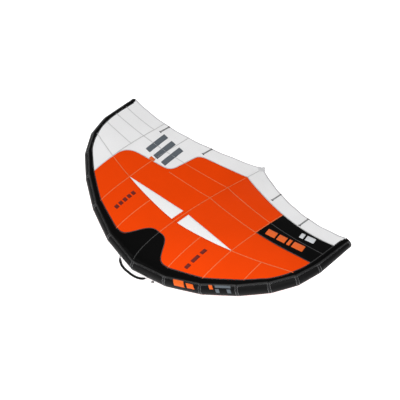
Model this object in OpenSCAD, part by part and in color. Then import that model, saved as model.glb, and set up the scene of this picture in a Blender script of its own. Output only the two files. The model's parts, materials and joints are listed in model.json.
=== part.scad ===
/* [Leading edge] */
// Plan length of each tube segment, from the centre to the tip
seg_len = [420, 395, 365, 300, 255, 240, 450]; // [each 200:5:480]
// Plan angle of each segment, swept back from straight across
seg_sweep = [7, 19, 29, 38, 54, 73, 86]; // [each 0:1:88]
// Rise of each segment
seg_rise = [59, 84, 97, 82, 55, 38, 32]; // [each 20:1:110]
// Tube radius at the centre
tube_r_mid = 88; // [84:1:92]
// Tube radius at the tips
tube_r_tip = 47; // [45:1:50]
// How late the tube starts to narrow
tube_taper = 3.5; // [2.5:0.1:4.5]
// Wall of the sewn sleeves
wall = 1.2; // [1:0.1:1.5]
// Where the canopy is sewn on at the centre, in degrees ahead of the tube's top
seam_mid = 35.5; // [30:0.5:40]
// The same at the tips
seam_tip = 10; // [8:0.5:14]
// Half width of the band that covers a seam
tape_w = 17; // [12:1:22]

/* [Canopy] */
// Chord on the centre line, from the sewn seam to the trailing edge
chord_mid = 2000; // [1960:10:2040]
// Trailing edge: how far it runs forward by the tip, in powers 1 and 2 of the span fraction
te_run = [-1094, 573]; // [each -1200:1:700]
// Trailing edge: how far it rises by the tip, in powers 1 to 3 of the span fraction
te_rise = [606, -428, 254]; // [each -500:1:700]
// Where the panel lines that start at the tube joints end on the trailing edge
te_x = [0, 400, 780, 1120, 1300, 1420, 1510, 1575]; // [each 0:5:1600]
// Camber height over chord at the centre
camber_mid = 0.225; // [0.2:0.005:0.23]
// Loss of camber by the tip
camber_loss = 0.114; // [0.08:0.002:0.12]
// Cloth thickness, with its seams
cloth = 2; // [1.5:0.1:2.5]
// Width of the dark strip behind the seam, at each tube joint
strip_w = [68, 66, 52, 55, 52, 90, 110, 110]; // [each 10:1:120]
// Height of the bell-shaped centre of the dark strip
bell_h = 300; // [250:10:320]
// Half width of that bell
bell_w = 210; // [180:5:230]
// Length of the white darts from the centre line
dart_len = 770; // [700:10:775]
// Width of the white darts at their wide ends
dart_w = 170; // [120:5:180]

/* [Strut] */
// Stations along the strut, measured back from the seam
strut_y = [130, 380, 820, 1330, 1860]; // [each 130:10:1860]
// Strut radius at each station
strut_r = [74, 72, 67, 56, 36]; // [each 34:1:75]
// Gap between the strut and the canopy at each station
strut_gap = [48, 8, 7, 6, 5]; // [each 4:1:50]

/* [Handles] */
// Middle of the front and the rear strut handle, measured back from the seam
handle_y = [600, 1080]; // [each 560:10:1120]
// Distance between a strut handle's anchors
handle_span = 340; // [320:5:350]
// Length of a padded grip
grip_len = 200; // [180:5:210]
// Radius of a padded grip
grip_r = 16; // [15:0.5:17]
// Drop from a strut handle's anchors to its grip
grip_drop = 62; // [58:1:66]
// Half length of the leading-edge handle
le_handle_half = 215; // [205:5:220]
// Radius of the leading-edge handle's padding
le_handle_r = 11; // [10:0.5:12]

/* [Hidden] */
$fn = 64;
big = 600;
panel_sides = ["left", "right"];
tube_joints = len(seg_len);
half_span = 1600;
fit_gap = 0.3;
// Height of the sewn seam above the tube at each joint
seam_lift = [2, 2, 2.5, 3.5, 4.5, 4.5, 4, 3];

// ---- small helpers
function sum_to(v, n) = n <= 0 ? 0 : v[n - 1] + sum_to(v, n - 1);
function mix(a, b, t) = a + (b - a) * t;
function unit(v) = v / norm(v);
function poly(c, t) = t * (c[0] + t * (c[1] + t * (len(c) > 2 ? c[2] : 0)));
// Value at u of a list held at whole numbers
function at(list, u) =
    let (i = min(floor(u), len(list) - 2))
    mix(list[i], list[i + 1], u - i);
module sided(side) {
    if (side == "left")
        mirror([1, 0, 0]) children();
    else
        children();
}

// Turns +Z onto a direction
module along(n)
    rotate([0, acos(n[2] / norm(n)), atan2(n[1], n[0])]) children();

module half_space(p, n)
    translate(p) along(n) translate([-big, -big, 0]) cube(2 * big);

// ---- tubes sewn from mitred cones
function run_dir(path, i) = unit(path[i + 1] - path[i]);
function mitre(path, i, first) =
    i == 0 ? first
    : i == len(path) - 1 ? run_dir(path, i - 1)
    : unit(run_dir(path, i - 1) + run_dir(path, i));

// Solid cone of segment i, past both ends
module cone(path, radii, i, grow) {
    run = norm(path[i + 1] - path[i]);
    slope = (radii[i + 1] - radii[i]) / run;
    over = 40;
    translate(path[i] - run_dir(path, i) * over)
        along(run_dir(path, i))
            cylinder(h = run + 2 * over, r1 = radii[i] + grow - slope * over,
                     r2 = radii[i + 1] + grow + slope * over);
}

module hollow_cone(path, radii, i, outer, inner)
    difference() {
        cone(path, radii, i, outer);
        cone(path, radii, i, inner);
    }

module tube_panel(path, radii, i, first)
    intersection() {
        hollow_cone(path, radii, i, 0, -wall);
        half_space(path[i], mitre(path, i, first));
        half_space(path[i + 1], -mitre(path, i + 1, first));
    }

// Band over one side of the seam at a joint, on segment i
module half_tape(path, radii, i, joint, first) {
    n = mitre(path, joint, first) * (joint == i ? 1 : -1);
    intersection() {
        hollow_cone(path, radii, i, fit_gap + 1, fit_gap);
        half_space(path[joint] + n * fit_gap, n);
        half_space(path[joint] + n * tape_w, -n);
    }
}

// Closed skin through rings of points that all have the same count
module skin(rings) {
    n = len(rings[0]);
    last = (len(rings) - 1) * n;
    polyhedron(
        points = [for (ring = rings, p = ring) p],
        faces = concat(
            [[for (k = [0:n - 1]) k]],
            [[for (k = [0:n - 1]) last + n - 1 - k]],
            [for (i = [0:len(rings) - 2], k = [0:n - 1], half = [0, 1])
                let (a = i * n + k, b = i * n + (k + 1) % n)
                half == 0 ? [a, a + n, b] : [b, a + n, b + n]]
        )
    );
}

function ring_of(p, dir, r, sides) =
    let (across = unit(cross(dir, [0, 0, 1])), up = cross(across, dir))
    [for (k = [0:sides - 1]) p + r * (cos(k * 360 / sides) * across + sin(k * 360 / sides) * up)];

// ---- leading-edge tube
tube_run = sum_to(seg_len, tube_joints);
function tube_radius(i) =
    tube_r_tip + (tube_r_mid - tube_r_tip) * (1 - pow(sum_to(seg_len, i) / tube_run, tube_taper));
function tube_point(i) = [
    sum_to([for (k = [0:tube_joints - 1]) seg_len[k] * cos(seg_sweep[k])], i),
    sum_to([for (k = [0:tube_joints - 1]) seg_len[k] * sin(seg_sweep[k])], i)
        + tube_r_mid * sin(seam_mid),
    sum_to(seg_rise, i) - tube_r_mid * cos(seam_mid)
];
tube = [for (i = [0:tube_joints]) tube_point(i)];
tube_r = [for (i = [0:tube_joints]) tube_radius(i)];
mid_plane = [1, 0, 0];

// ---- canopy surface: u counts tube joints from the centre, v runs from seam to trailing edge
function seam_point(i) =
    let (d = mitre(tube, i, mid_plane),
         front = unit(cross(d, [0, 0, 1])),
         up = cross(front, d),
         turn = mix(seam_mid, seam_tip, i / tube_joints))
    tube[i] + (tube_r[i] + seam_lift[i]) * (cos(turn) * up + sin(turn) * front);
seam = [for (i = [0:tube_joints]) seam_point(i)];
function te_point(x) =
    [x, chord_mid + poly(te_run, x / half_span), poly(te_rise, x / half_span)];
function canopy(u, v, lift = 0) =
    let (p = at(seam, u),
         q = te_point(at(te_x, u)),
         flat = mix(p, q, v),
         span = flat[0] / half_span,
         chord = norm([q[0] - p[0], q[1] - p[1]]),
         height = camber_mid - camber_loss * span * span,
         bulge = pow(v, 0.5 + 0.37 * span) * pow(1 - v, 1.1))
    flat + [0, 0, height * chord * bulge + lift];

// Chord fraction at u of a line at distance y behind the seam's centre
function chord_at(u, y) =
    let (p = at(seam, u), q = te_point(at(te_x, u)))
    (y - p[1]) / (q[1] - p[1]);
// Least height of a panel, as a chord fraction
sliver = 0.01;
// Most of a chord that the strip may cover, where the chords get short at the tip
strip_most = 0.72;
function panel_x(u) = mix(at(seam, u)[0], at(te_x, u), 0.4);

// Panel edges, each as a chord fraction at u
function strip_edge(u) =
    let (p = at(seam, u), q = te_point(at(te_x, u)))
    min(strip_most, (at(strip_w, u) + bell_h * exp(-pow(panel_x(u) / bell_w, 3.2))) / norm([q[0] - p[0], q[1] - p[1]]));
function dart_front_y(x) = x < dart_len ? 590 + 65 * x / dart_len : 655 + (x - dart_len) * 0.2;
function waist_edge(u) = max(strip_edge(u) + sliver, chord_at(u, dart_front_y(panel_x(u))));
function band_y(x) = te_point(x)[1] - 170 - 100 * pow(1 - x / half_span, 3);
function side_edge(u) = max(strip_edge(u) + sliver, chord_at(u, 1000 - 4 * (u - 2)));
function band_edge(u) = max(strip_edge(u) + 2 * sliver, chord_at(u, band_y(panel_x(u))));
function white_step_edge(u) =
    panel_x(u) < 545 ? band_edge(u) : chord_at(u, 1100 - 0.36 * (panel_x(u) - 545));

// Closed curved sheet between two panel edges
module sheet(side, u0, u1, front, rear, rows, lift = 0, thick = cloth, step = 0.25) {
    columns = [for (u = [u0:step:u1 + 0.001]) min(u, u1)];
    rings = [for (u = columns) concat(
        [for (j = [0:rows]) canopy(u, mix(front(u), rear(u), j / rows), lift)],
        [for (j = [rows:-1:0]) canopy(u, mix(front(u), rear(u), j / rows), lift + thick)]
    )];
    n = 2 * (rows + 1);
    caps = [for (end = [0, len(rings) - 1], j = [0:rows - 1], half = [0, 1])
        let (a = end * n + j, b = a + 1, c = end * n + n - 1 - j, d = c - 1,
             t = half == 0 ? [a, b, d] : [a, d, c])
        end == 0 ? t : [t[2], t[1], t[0]]];
    sides = [for (i = [0:len(rings) - 2], k = [0:n - 1], half = [0, 1])
        let (a = i * n + k, b = i * n + (k + 1) % n)
        half == 0 ? [a, a + n, b] : [b, a + n, b + n]];
    sided(side)
        polyhedron(points = [for (ring = rings, p = ring) p],
                   faces = [for (f = concat(caps, sides)) [f[2], f[1], f[0]]]);
}

// ---- strut line under the centre of the canopy
function centre_height(y) = canopy(0, (y - seam[0][1]) / (chord_mid - seam[0][1]))[2];
strut = [for (i = [0:len(strut_y) - 1])
    [0, strut_y[i], centre_height(strut_y[i]) - strut_gap[i] - strut_r[i]]];
strut_front_plane = run_dir(strut, 0);
function strut_segment(y) = len([for (s = strut_y) if (s <= y) s]) - 1;
function strut_place(y) =
    let (i = strut_segment(y), t = (y - strut_y[i]) / (strut_y[i + 1] - strut_y[i]))
    i + t;
function strut_under(y) =
    let (s = strut_place(y), i = floor(s), d = run_dir(strut, i))
    at(strut, s) + at(strut_r, s) * [0, d[2], -d[1]];

// ---- strut handles
anchor_drop = 7;
function anchor(h, end) =
    strut_under(handle_y[h] + end * handle_span / 2) - [0, 0, anchor_drop];
function handle_dir(h) = unit(anchor(h, 1) - anchor(h, -1));
function grip_mid(h) =
    let (d = handle_dir(h)) (anchor(h, 1) + anchor(h, -1)) / 2 + grip_drop * [0, d[2], -d[1]];
hold = grip_mid(0);

// Puts the origin at the middle of the front grip
module placed()
    translate(-hold) children();

// Frame of a strut handle: origin midway between its anchors, +Y towards the rear anchor
module handle_frame(h) {
    d = handle_dir(h);
    translate((anchor(h, 1) + anchor(h, -1)) / 2) rotate([atan2(d[2], d[1]), 0, 0]) children();
}

// ---- leading-edge nodes
valve_s = 0.45;
valve_tilt = 140;
valve_r = 20;
valve_bore = 11;
valve_rise = 12;
feed_r = 9;
feed_len = 40;
bladder_y = [150, 1850];

// Frame on the tube: +Z points out of the surface, +X runs towards the tip
module tube_frame(s, tilt) {
    d = run_dir(tube, 0);
    r = at(tube_r, s);
    translate(at(tube, s))
        rotate([0, 0, atan2(d[1], d[0])])
            rotate([0, -asin(d[2]), 0])
                rotate([tilt, 0, 0])
                    translate([0, 0, r]) children();
}

module feed_path(r)
    translate([0, bladder_y[0], at(strut, strut_place(bladder_y[0]))[2]])
        along(-run_dir(strut, 0))
            cylinder(h = feed_len, r = r);

module le_panel(side, i)
    color("dimgray") placed() difference() {
        sided(side) tube_panel(tube, tube_r, i - 1, mid_plane);
        if (i == 1)
            feed_path(feed_r + fit_gap);
        if (i == 1 && side == "left")
            sided("left") tube_frame(valve_s, -valve_tilt)
                translate([0, 0, -10]) cylinder(h = 20, r = valve_r + fit_gap);
    }

module le_seam_tapes(side)
    color("gray") placed() sided(side)
        for (joint = [1:tube_joints - 1], i = [joint - 1, joint])
            half_tape(tube, tube_r, i, joint, mid_plane);

module le_centre_tape()
    color("gray") placed() difference() {
        for (side = panel_sides)
            sided(side) half_tape(tube, tube_r, 0, 0, mid_plane);
        feed_path(feed_r + fit_gap);
    }

module le_tip_cap(side)
    color("black") placed() sided(side)
        translate(tube[tube_joints] + run_dir(tube, tube_joints - 1) * fit_gap)
            along(run_dir(tube, tube_joints - 1))
                rotate_extrude()
                    polygon([[0, 0], [tube_r_tip, 0], [tube_r_tip, 2],
                             [tube_r_tip * 0.8, 7], [tube_r_tip * 0.4, 10], [0, 11]]);

module le_bladder() {
    places = [for (i = [-tube_joints:tube_joints]) i];
    shrink = wall + 1.3;
    color("whitesmoke") placed() difference() {
        skin([for (i = places)
            let (side = i < 0 ? [-1, 1, 1] : [1, 1, 1],
                 k = abs(i),
                 n = mitre(tube, k, mid_plane),
                 inset = k == tube_joints ? 4 : 0,
                 p = tube[k] - n * inset,
                 dir = [n[0], side[0] * n[1], side[0] * n[2]])
            ring_of([side[0] * p[0], p[1], p[2]], dir, tube_r[k] - shrink, 16)]);
        feed_path(feed_r + fit_gap);
    }
}

module tube_pad(s, tilt, r)
    intersection() {
        hollow_cone(tube, tube_r, 0, 2.2, fit_gap);
        tube_frame(s, tilt) translate([0, 0, -8]) cylinder(h = 20, r = r);
    }

le_handle_tilt = 119;
le_handle_s = 0.515;
leash_s = 0.64;
leash_tilt = 128;
leash_r = 12;
leash_bore = 8;
leash_w = 20;
leash_stand = 21;
leash_neck = 4;
leash_base = 5.3;

module tube_patches()
    color("black") placed() {
        for (side = panel_sides)
            sided(side) tube_pad(le_handle_s, le_handle_tilt, 30);
        tube_pad(leash_s, leash_tilt, 17);
    }

// Curved, padded handle in front of the tube, thin at its sewn ends
le_handle_mid = [0, -80, -112];
le_handle_end = [0, -6, -88];
module le_handle() {
    steps = 14;
    color("black") placed()
        skin([for (k = [-steps:steps])
            let (s = k / steps,
                 a = abs(s),
                 p = [le_handle_half * s,
                      mix(le_handle_mid[1], le_handle_end[1], pow(a, 2.8)),
                      mix(le_handle_mid[2], le_handle_end[2], pow(a, 6))],
                 lean = min(60, 72 * pow(a, 2)) * sign(s),
                 r = a < 0.75 ? le_handle_r : mix(le_handle_r, 3.5, (a - 0.75) / 0.25))
            ring_of(p, [cos(lean), sin(lean), 0], r, 10)]);
}

module leash_loop()
    color("black") placed()
        tube_frame(leash_s, leash_tilt)
            translate([0, leash_w / 2, leash_stand])
                rotate([90, 0, 0])
                    linear_extrude(leash_w)
                        difference() {
                            union() {
                                circle(leash_r);
                                translate([-leash_neck, leash_base - leash_stand])
                                    square([2 * leash_neck, leash_stand - leash_base - 2]);
                            }
                            circle(leash_bore);
                        }

// ---- valve on the rear underside of the tube
module valve_frame()
    sided("left") tube_frame(valve_s, -valve_tilt) children();

module valve_flange()
    color("darkgray") placed() difference() {
        sided("left") tube_pad(valve_s, -valve_tilt, 34);
        valve_frame() translate([0, 0, -12]) cylinder(h = 30, r = valve_r + fit_gap);
    }

module valve_body()
    color("gray") placed() valve_frame()
        translate([0, 0, -1.5])
            difference() {
                cylinder(h = valve_rise + 1.5, r = valve_r);
                translate([0, 0, -1]) cylinder(h = valve_rise + 5, r = valve_bore);
            }

cap_hinge = valve_r + 4;
cap_h = 5;
module valve_cap()
    color("black") placed() valve_frame()
        translate([0, 0, valve_rise + fit_gap]) {
            cylinder(h = cap_h, r = valve_r);
            translate([0, 0, -4]) cylinder(h = 5, r1 = valve_bore - 1.6, r2 = valve_bore - 0.6);
            translate([0, -5, 0]) cube([cap_hinge, 10, 3]);
            translate([cap_hinge, 5, 1.5]) rotate([90, 0, 0]) cylinder(h = 10, r = 1.5);
        }

module feed_tube()
    color("darkgray") placed() difference() {
        feed_path(feed_r);
        feed_path(feed_r - 3);
    }

// ---- strut nodes
module strut_panel(i)
    color("black") placed() difference() {
        tube_panel(strut, strut_r, i - 1, strut_front_plane);
        if (i == 1)
            for (side = panel_sides)
                sided(side) intersection() {
                    cone(tube, tube_r, 0, fit_gap + 1.5);
                    half_space([0, 0, 0], mid_plane);
                }
    }

module strut_seam_tapes()
    color("gray") placed()
        for (joint = [1:len(strut_y) - 2], i = [joint - 1, joint])
            half_tape(strut, strut_r, i, joint, strut_front_plane);

module strut_rear_cap() {
    end = len(strut_y) - 1;
    r = strut_r[end];
    d = run_dir(strut, end - 1);
    color("black") placed()
        translate(strut[end] + d * fit_gap)
            along(d)
                rotate_extrude()
                    polygon([[0, 0], [r, 0], [r, 2], [r * 0.8, 12], [r * 0.4, 20], [0, 22]]);
}

module strut_bladder() {
    stations = [bladder_y[0], strut_y[1], strut_y[2], strut_y[3], bladder_y[1]];
    shrink = wall + 1.3;
    color("whitesmoke") placed()
        skin([for (k = [0:len(stations) - 1])
            let (s = strut_place(stations[k]))
            ring_of(at(strut, s), mitre(strut, k, strut_front_plane),
                    at(strut_r, s) - shrink, 16)]);
}

// Upright strip that joins the top of the strut to the canopy
module strut_web() {
    ys = [for (y = [170:65:1800]) y];
    function strut_top(y) =
        let (s = strut_place(y), d = run_dir(strut, floor(s)))
        at(strut, s)[2] + at(strut_r, s) / d[1];
    color("black") placed()
        rotate([90, 0, 90])
            translate([0, 0, -1])
                linear_extrude(2)
                    polygon(concat(
                        [for (y = ys) [y, centre_height(y) - 1.6]],
                        [for (k = [len(ys) - 1:-1:0]) [ys[k], strut_top(ys[k]) + 1.8]]
                    ));
}

// ---- strut handle nodes
strap_w = 24;
strap_t = 3;
neck_w = 8;
module grip(h)
    color("black") placed() handle_frame(h)
        translate([0, grip_len / 2, -grip_drop])
            rotate([90, 0, 0])
                difference() {
                    cylinder(h = grip_len, r = grip_r);
                    translate([-strap_w / 2 - fit_gap, -strap_t / 2 - fit_gap, -1])
                        cube([strap_w + 2 * fit_gap, strap_t + 2 * fit_gap, grip_len + 2]);
                }

// Webbing that runs through the grip and up to both anchors
module straps(h) {
    bend = grip_len / 2 + 4;
    top = handle_span / 2;
    color("dimgray") placed() handle_frame(h) {
        translate([-strap_w / 2, -bend, -grip_drop - strap_t / 2])
            cube([strap_w, 2 * bend, strap_t]);
        for (end = [-1, 1])
            rotate([90, 0, 90])
                translate([0, 0, -strap_w / 2])
                    linear_extrude(strap_w)
                        polygon([[end * (bend - 1), -grip_drop - strap_t / 2],
                                 [end * (bend + 3), -grip_drop - strap_t / 2],
                                 [end * (top - 8), -10], [end * (top - 14), -10],
                                 [end * (bend - 1), -grip_drop + strap_t / 2]]);
        for (end = [-1, 1])
            translate([-neck_w / 2, end * (top - 11) - 3, -11])
                cube([neck_w, 6, 12]);
    }
}

strut_patch_r = 28;
module strut_patches()
    color("black") placed()
        for (h = [0, 1], end = [-1, 1])
            intersection() {
                hollow_cone(strut, strut_r, strut_segment(handle_y[h]), 2.2, fit_gap);
                translate(anchor(h, end) - [0, end * 11, 14]) cylinder(h = 60, r = strut_patch_r);
            }

// ---- canopy nodes
module leading_strip(side)
    color("black") placed()
        sheet(side, 0, tube_joints, function (u) 0, function (u) strip_edge(u), 4);

module front_panel(side)
    color("orangered") placed()
        sheet(side, 0, side == "left" ? 3 : 5, function (u) strip_edge(u),
              function (u) waist_edge(u), 4);

module rear_panel(side)
    color("orangered") placed()
        if (side == "left")
            sheet(side, 0, 3, function (u) waist_edge(u), function (u) white_step_edge(u), 10);
        else
            sheet(side, 0, 2, function (u) waist_edge(u), function (u) band_edge(u), 10);

module outer_panel_right()
    color("orangered") placed()
        sheet("right", 2, 6, function (u) u <= 5 ? waist_edge(u) : strip_edge(u),
              function (u) side_edge(u), 3);

module side_panel_right()
    color("black") placed()
        sheet("right", 2, tube_joints, function (u) side_edge(u),
              function (u) band_edge(u), 3);

module trailing_panel(side)
    color("gainsboro") placed()
        if (side == "left")
            sheet(side, 0, 3, function (u) white_step_edge(u), function (u) 1, 4);
        else
            sheet(side, 0, tube_joints, function (u) band_edge(u), function (u) 1, 3);

module tip_panel_left()
    color("gainsboro") placed()
        sheet("left", 3, tube_joints, function (u) strip_edge(u), function (u) 1, 8);

// White wedge sewn flat onto the orange panels
dart_inner = 40;
module dart(side)
    color("white") placed()
        sheet(side, 0.1, 1.9,
              function (u) chord_at(u, dart_front_y(panel_x(u))),
              function (u) chord_at(u, dart_front_y(panel_x(u)) + 6
                                    + dart_w * (1 - panel_x(u) / dart_len)),
              2, cloth + fit_gap, 1, 0.15);

module trailing_hem()
    color("lightgray") placed()
        for (side = panel_sides)
            sided(side)
                skin([for (x = [0.5:63:1575])
                    let (p = te_point(x))
                    [for (k = [0:5]) p + [0, 3.4 + 3 * cos(k * 60), 1 + 2.2 * sin(k * 60)]]]);

module te_corner_patch()
    color("gray") placed()
        translate([0, chord_mid + 9, 2])
            difference() {
                cylinder(h = 3, r = 22);
                translate([-30, -60, -1]) cube([60, 60, 5]);
            }

batten_at = [530, 1055];
batten_len = 150;
batten_w = 9;
batten_t = 1.4;
pocket_side = 2.5;

// Frame on the canopy at a batten: +Y runs back along it, +Z is up
module batten_frame(side, x) {
    rear = te_point(x);
    u = x < te_x[2] ? mix(1, 2, (x - te_x[1]) / (te_x[2] - te_x[1]))
                    : mix(2, 3, (x - te_x[2]) / (te_x[3] - te_x[2]));
    front = canopy(u, chord_at(u, rear[1] - batten_len));
    d = rear - front;
    sided(side)
        translate(mix(front, rear, 0.5) + [0, 0, cloth + 6])
            rotate([atan2(d[2], d[1]), 0, 0]) children();
}

module batten_box(w, l, h, lift)
    for (side = panel_sides, x = batten_at)
        batten_frame(side, x) translate([-w / 2, -l / 2, lift]) cube([w, l, h]);

module batten_pockets()
    color("gray") placed() difference() {
        batten_box(batten_w + 2 * pocket_side, batten_len, batten_t + 2 * 0.8, 0);
        batten_box(batten_w + 2 * fit_gap, batten_len - 8, batten_t + 0.2, 0.7);
    }

module battens()
    color("khaki") placed()
        batten_box(batten_w, batten_len - 12, batten_t, 0.8);

for (s = panel_sides, i = [1:tube_joints])
    le_panel(s, i);
for (i = [1:len(strut_y) - 1])
    strut_panel(i);
for (s = panel_sides) {
    le_tip_cap(s);
    le_seam_tapes(s);
    leading_strip(s);
    front_panel(s);
    rear_panel(s);
    trailing_panel(s);
    dart(s);
}
tip_panel_left();
outer_panel_right();
side_panel_right();
le_centre_tape();
le_bladder();
strut_seam_tapes();
strut_rear_cap();
strut_bladder();
strut_web();
feed_tube();
trailing_hem();
te_corner_patch();
batten_pockets();
battens();
le_handle();
tube_patches();
grip(0);  // front_grip
straps(0);  // front_straps
grip(1);  // rear_grip
straps(1);  // rear_straps
strut_patches();
leash_loop();
valve_flange();
valve_body();
valve_cap();
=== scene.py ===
"""Visual model of an inflatable hand-held wing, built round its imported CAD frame.

Lengths are in metres and angles in degrees. The wing frame has its origin where the canopy is sewn
to the tube on the centre line, with +X to the right tip, +Y back and +Z up. SEAM is that origin in
the shared frame. Plan outlines are written for the right half and mirrored for the left.
"""
import json

import bpy
import numpy as np
from mathutils import Matrix, Vector
from mathutils.geometry import delaunay_2d_cdt


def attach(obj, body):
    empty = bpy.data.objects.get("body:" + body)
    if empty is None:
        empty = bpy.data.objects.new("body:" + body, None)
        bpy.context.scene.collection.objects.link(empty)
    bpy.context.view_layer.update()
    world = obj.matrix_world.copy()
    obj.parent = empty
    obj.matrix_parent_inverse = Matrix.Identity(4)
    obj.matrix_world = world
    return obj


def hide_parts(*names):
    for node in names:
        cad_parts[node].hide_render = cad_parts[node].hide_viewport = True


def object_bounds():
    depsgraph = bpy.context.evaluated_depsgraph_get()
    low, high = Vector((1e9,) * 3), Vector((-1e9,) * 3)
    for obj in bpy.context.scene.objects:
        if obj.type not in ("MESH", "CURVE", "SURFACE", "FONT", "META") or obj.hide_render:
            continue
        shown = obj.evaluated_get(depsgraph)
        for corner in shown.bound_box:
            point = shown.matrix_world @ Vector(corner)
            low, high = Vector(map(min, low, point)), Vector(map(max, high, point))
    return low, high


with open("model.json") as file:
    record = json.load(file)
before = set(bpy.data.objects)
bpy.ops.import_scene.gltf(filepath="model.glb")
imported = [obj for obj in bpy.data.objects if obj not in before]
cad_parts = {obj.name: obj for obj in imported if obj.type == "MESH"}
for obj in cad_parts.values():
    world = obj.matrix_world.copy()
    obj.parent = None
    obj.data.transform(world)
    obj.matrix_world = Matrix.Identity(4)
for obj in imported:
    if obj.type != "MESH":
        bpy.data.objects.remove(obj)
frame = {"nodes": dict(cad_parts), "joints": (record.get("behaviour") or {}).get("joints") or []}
cad_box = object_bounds()

# ---- driving dimensions, as in the CAD
SEG_LEN = np.array([0.420, 0.395, 0.365, 0.300, 0.255, 0.240, 0.450])
SEG_SWEEP = np.radians([7, 19, 29, 38, 54, 73, 86])
SEG_RISE = np.array([0.059, 0.084, 0.097, 0.082, 0.055, 0.038, 0.032])
TUBE_R_MID, TUBE_R_TIP, TUBE_TAPER = 0.088, 0.047, 3.5
SEAM_TURN = (35.5, 10.0)  # canopy seam ahead of the tube's top, at the centre and at the tips
SEAM_LIFT = np.array([2, 2, 2.5, 3.5, 4.5, 4.5, 4, 3]) / 1000
TAPE_W = 0.017
HALF_SPAN = 1.6
CHORD_MID = 2.0
TE_RUN = (-1.094, 0.573)
TE_RISE = (0.606, -0.428, 0.254)
TE_X = np.array([0, 0.400, 0.780, 1.120, 1.300, 1.420, 1.510, 1.575])
CAMBER_MID, CAMBER_LOSS = 0.225, 0.114
STRIP_W = np.array([0.068, 0.066, 0.052, 0.055, 0.048, 0.045, 0.045, 0.045])
TIP_STRIP_W = 0.045  # across the strip, where it runs beside the tube to the tip
BELL_H, BELL_W = 0.300, 0.210
DART_LEN, DART_W, DART_GAP = 0.770, 0.170, 0.040
STRUT_Y = np.array([0.130, 0.380, 0.820, 1.330, 1.860])
STRUT_R = np.array([0.074, 0.072, 0.067, 0.056, 0.036])
STRUT_GAP = np.array([0.048, 0.008, 0.007, 0.006, 0.005])
HANDLE_Y = (0.600, 1.080)
HANDLE_SPAN, GRIP_LEN, GRIP_DROP = 0.340, 0.200, 0.062
ANCHOR_DROP = 0.007
LE_HANDLE_MID = np.array([0, -0.080, -0.112])
LE_HANDLE_END = np.array([0, -0.006, -0.088])
LE_HANDLE_HALF, LE_HANDLE_R = 0.215, 0.0142
LE_HANDLE_PAD = 0.92  # share of the handle that is padded
BATTEN_X = (0.530, 1.055)
BATTEN_LEN = 0.150
VALVE_S, VALVE_TILT = 0.45, 140
LEASH_S, LEASH_TILT = 0.64, 128
LE_HANDLE_TURN, LE_HANDLE_S = 119, 0.515  # where the loop handle is sewn to the tube

# ---- dimensions of the cloth and thread that only the visual model has
CLOTH = 0.0009
MESH_STEP = 0.013
CREASE = 0.02  # how far from the centre line the fold over the strut is rounded
SEAM_W = 0.011
SLEEVE_CLOTH = 0.0012
SUNK = 0.0006  # how far bands, seams and patches reach into the sleeve
INK = 0.0004  # thickness of a printed mark
THREAD_R = 0.0008
TURNS = 72  # points round a sleeve
UNDER_TURN = 165  # place of the sleeve's own seam, from the top towards the front

# ---- camera and floor
CAMERA_AZIMUTH, CAMERA_ELEVATION = 45.2, 44.45
CAMERA_DISTANCE = 9.331  # from the seam's centre, along the view
CAMERA_OFFSET = (0.691, 0.633)  # right and up
LENS = 80.8
FLOOR_DROP = 0.03
FLOOR_SIZE = 40

UP = np.array([0.0, 0.0, 1.0])
KNOTS = np.arange(len(TE_X))
JOINTS = len(SEG_LEN)
SWING = next(j for j in frame["joints"] if j["name"] == "le_handle_swing")
SEAM = np.array(SWING["pos_m"]) - LE_HANDLE_END


# ---- numbers
def unit(v):
    return v / np.linalg.norm(v, axis=-1, keepdims=True)


def mix(a, b, t):
    return a + (b - a) * t


def ease(t):
    t = np.clip(t, 0, 1)
    return t * t * (3 - 2 * t)


def power_sum(factors, t):
    return sum(f * t ** (k + 1) for k, f in enumerate(factors))


def distances(points):
    """Distance along a line of points, at each point"""
    steps = np.linalg.norm(np.diff(points, axis=0), axis=1)
    return np.concatenate([[0], np.cumsum(steps)])


def resample(points, step):
    """The same line with evenly spaced points, corners rounded off by at most one step"""
    points = np.asarray(points, float)
    s = distances(points)
    places = np.linspace(0, s[-1], max(2, int(round(s[-1] / step)) + 1))
    return np.stack([np.interp(places, s, points[:, k]) for k in range(points.shape[1])], 1)


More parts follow.
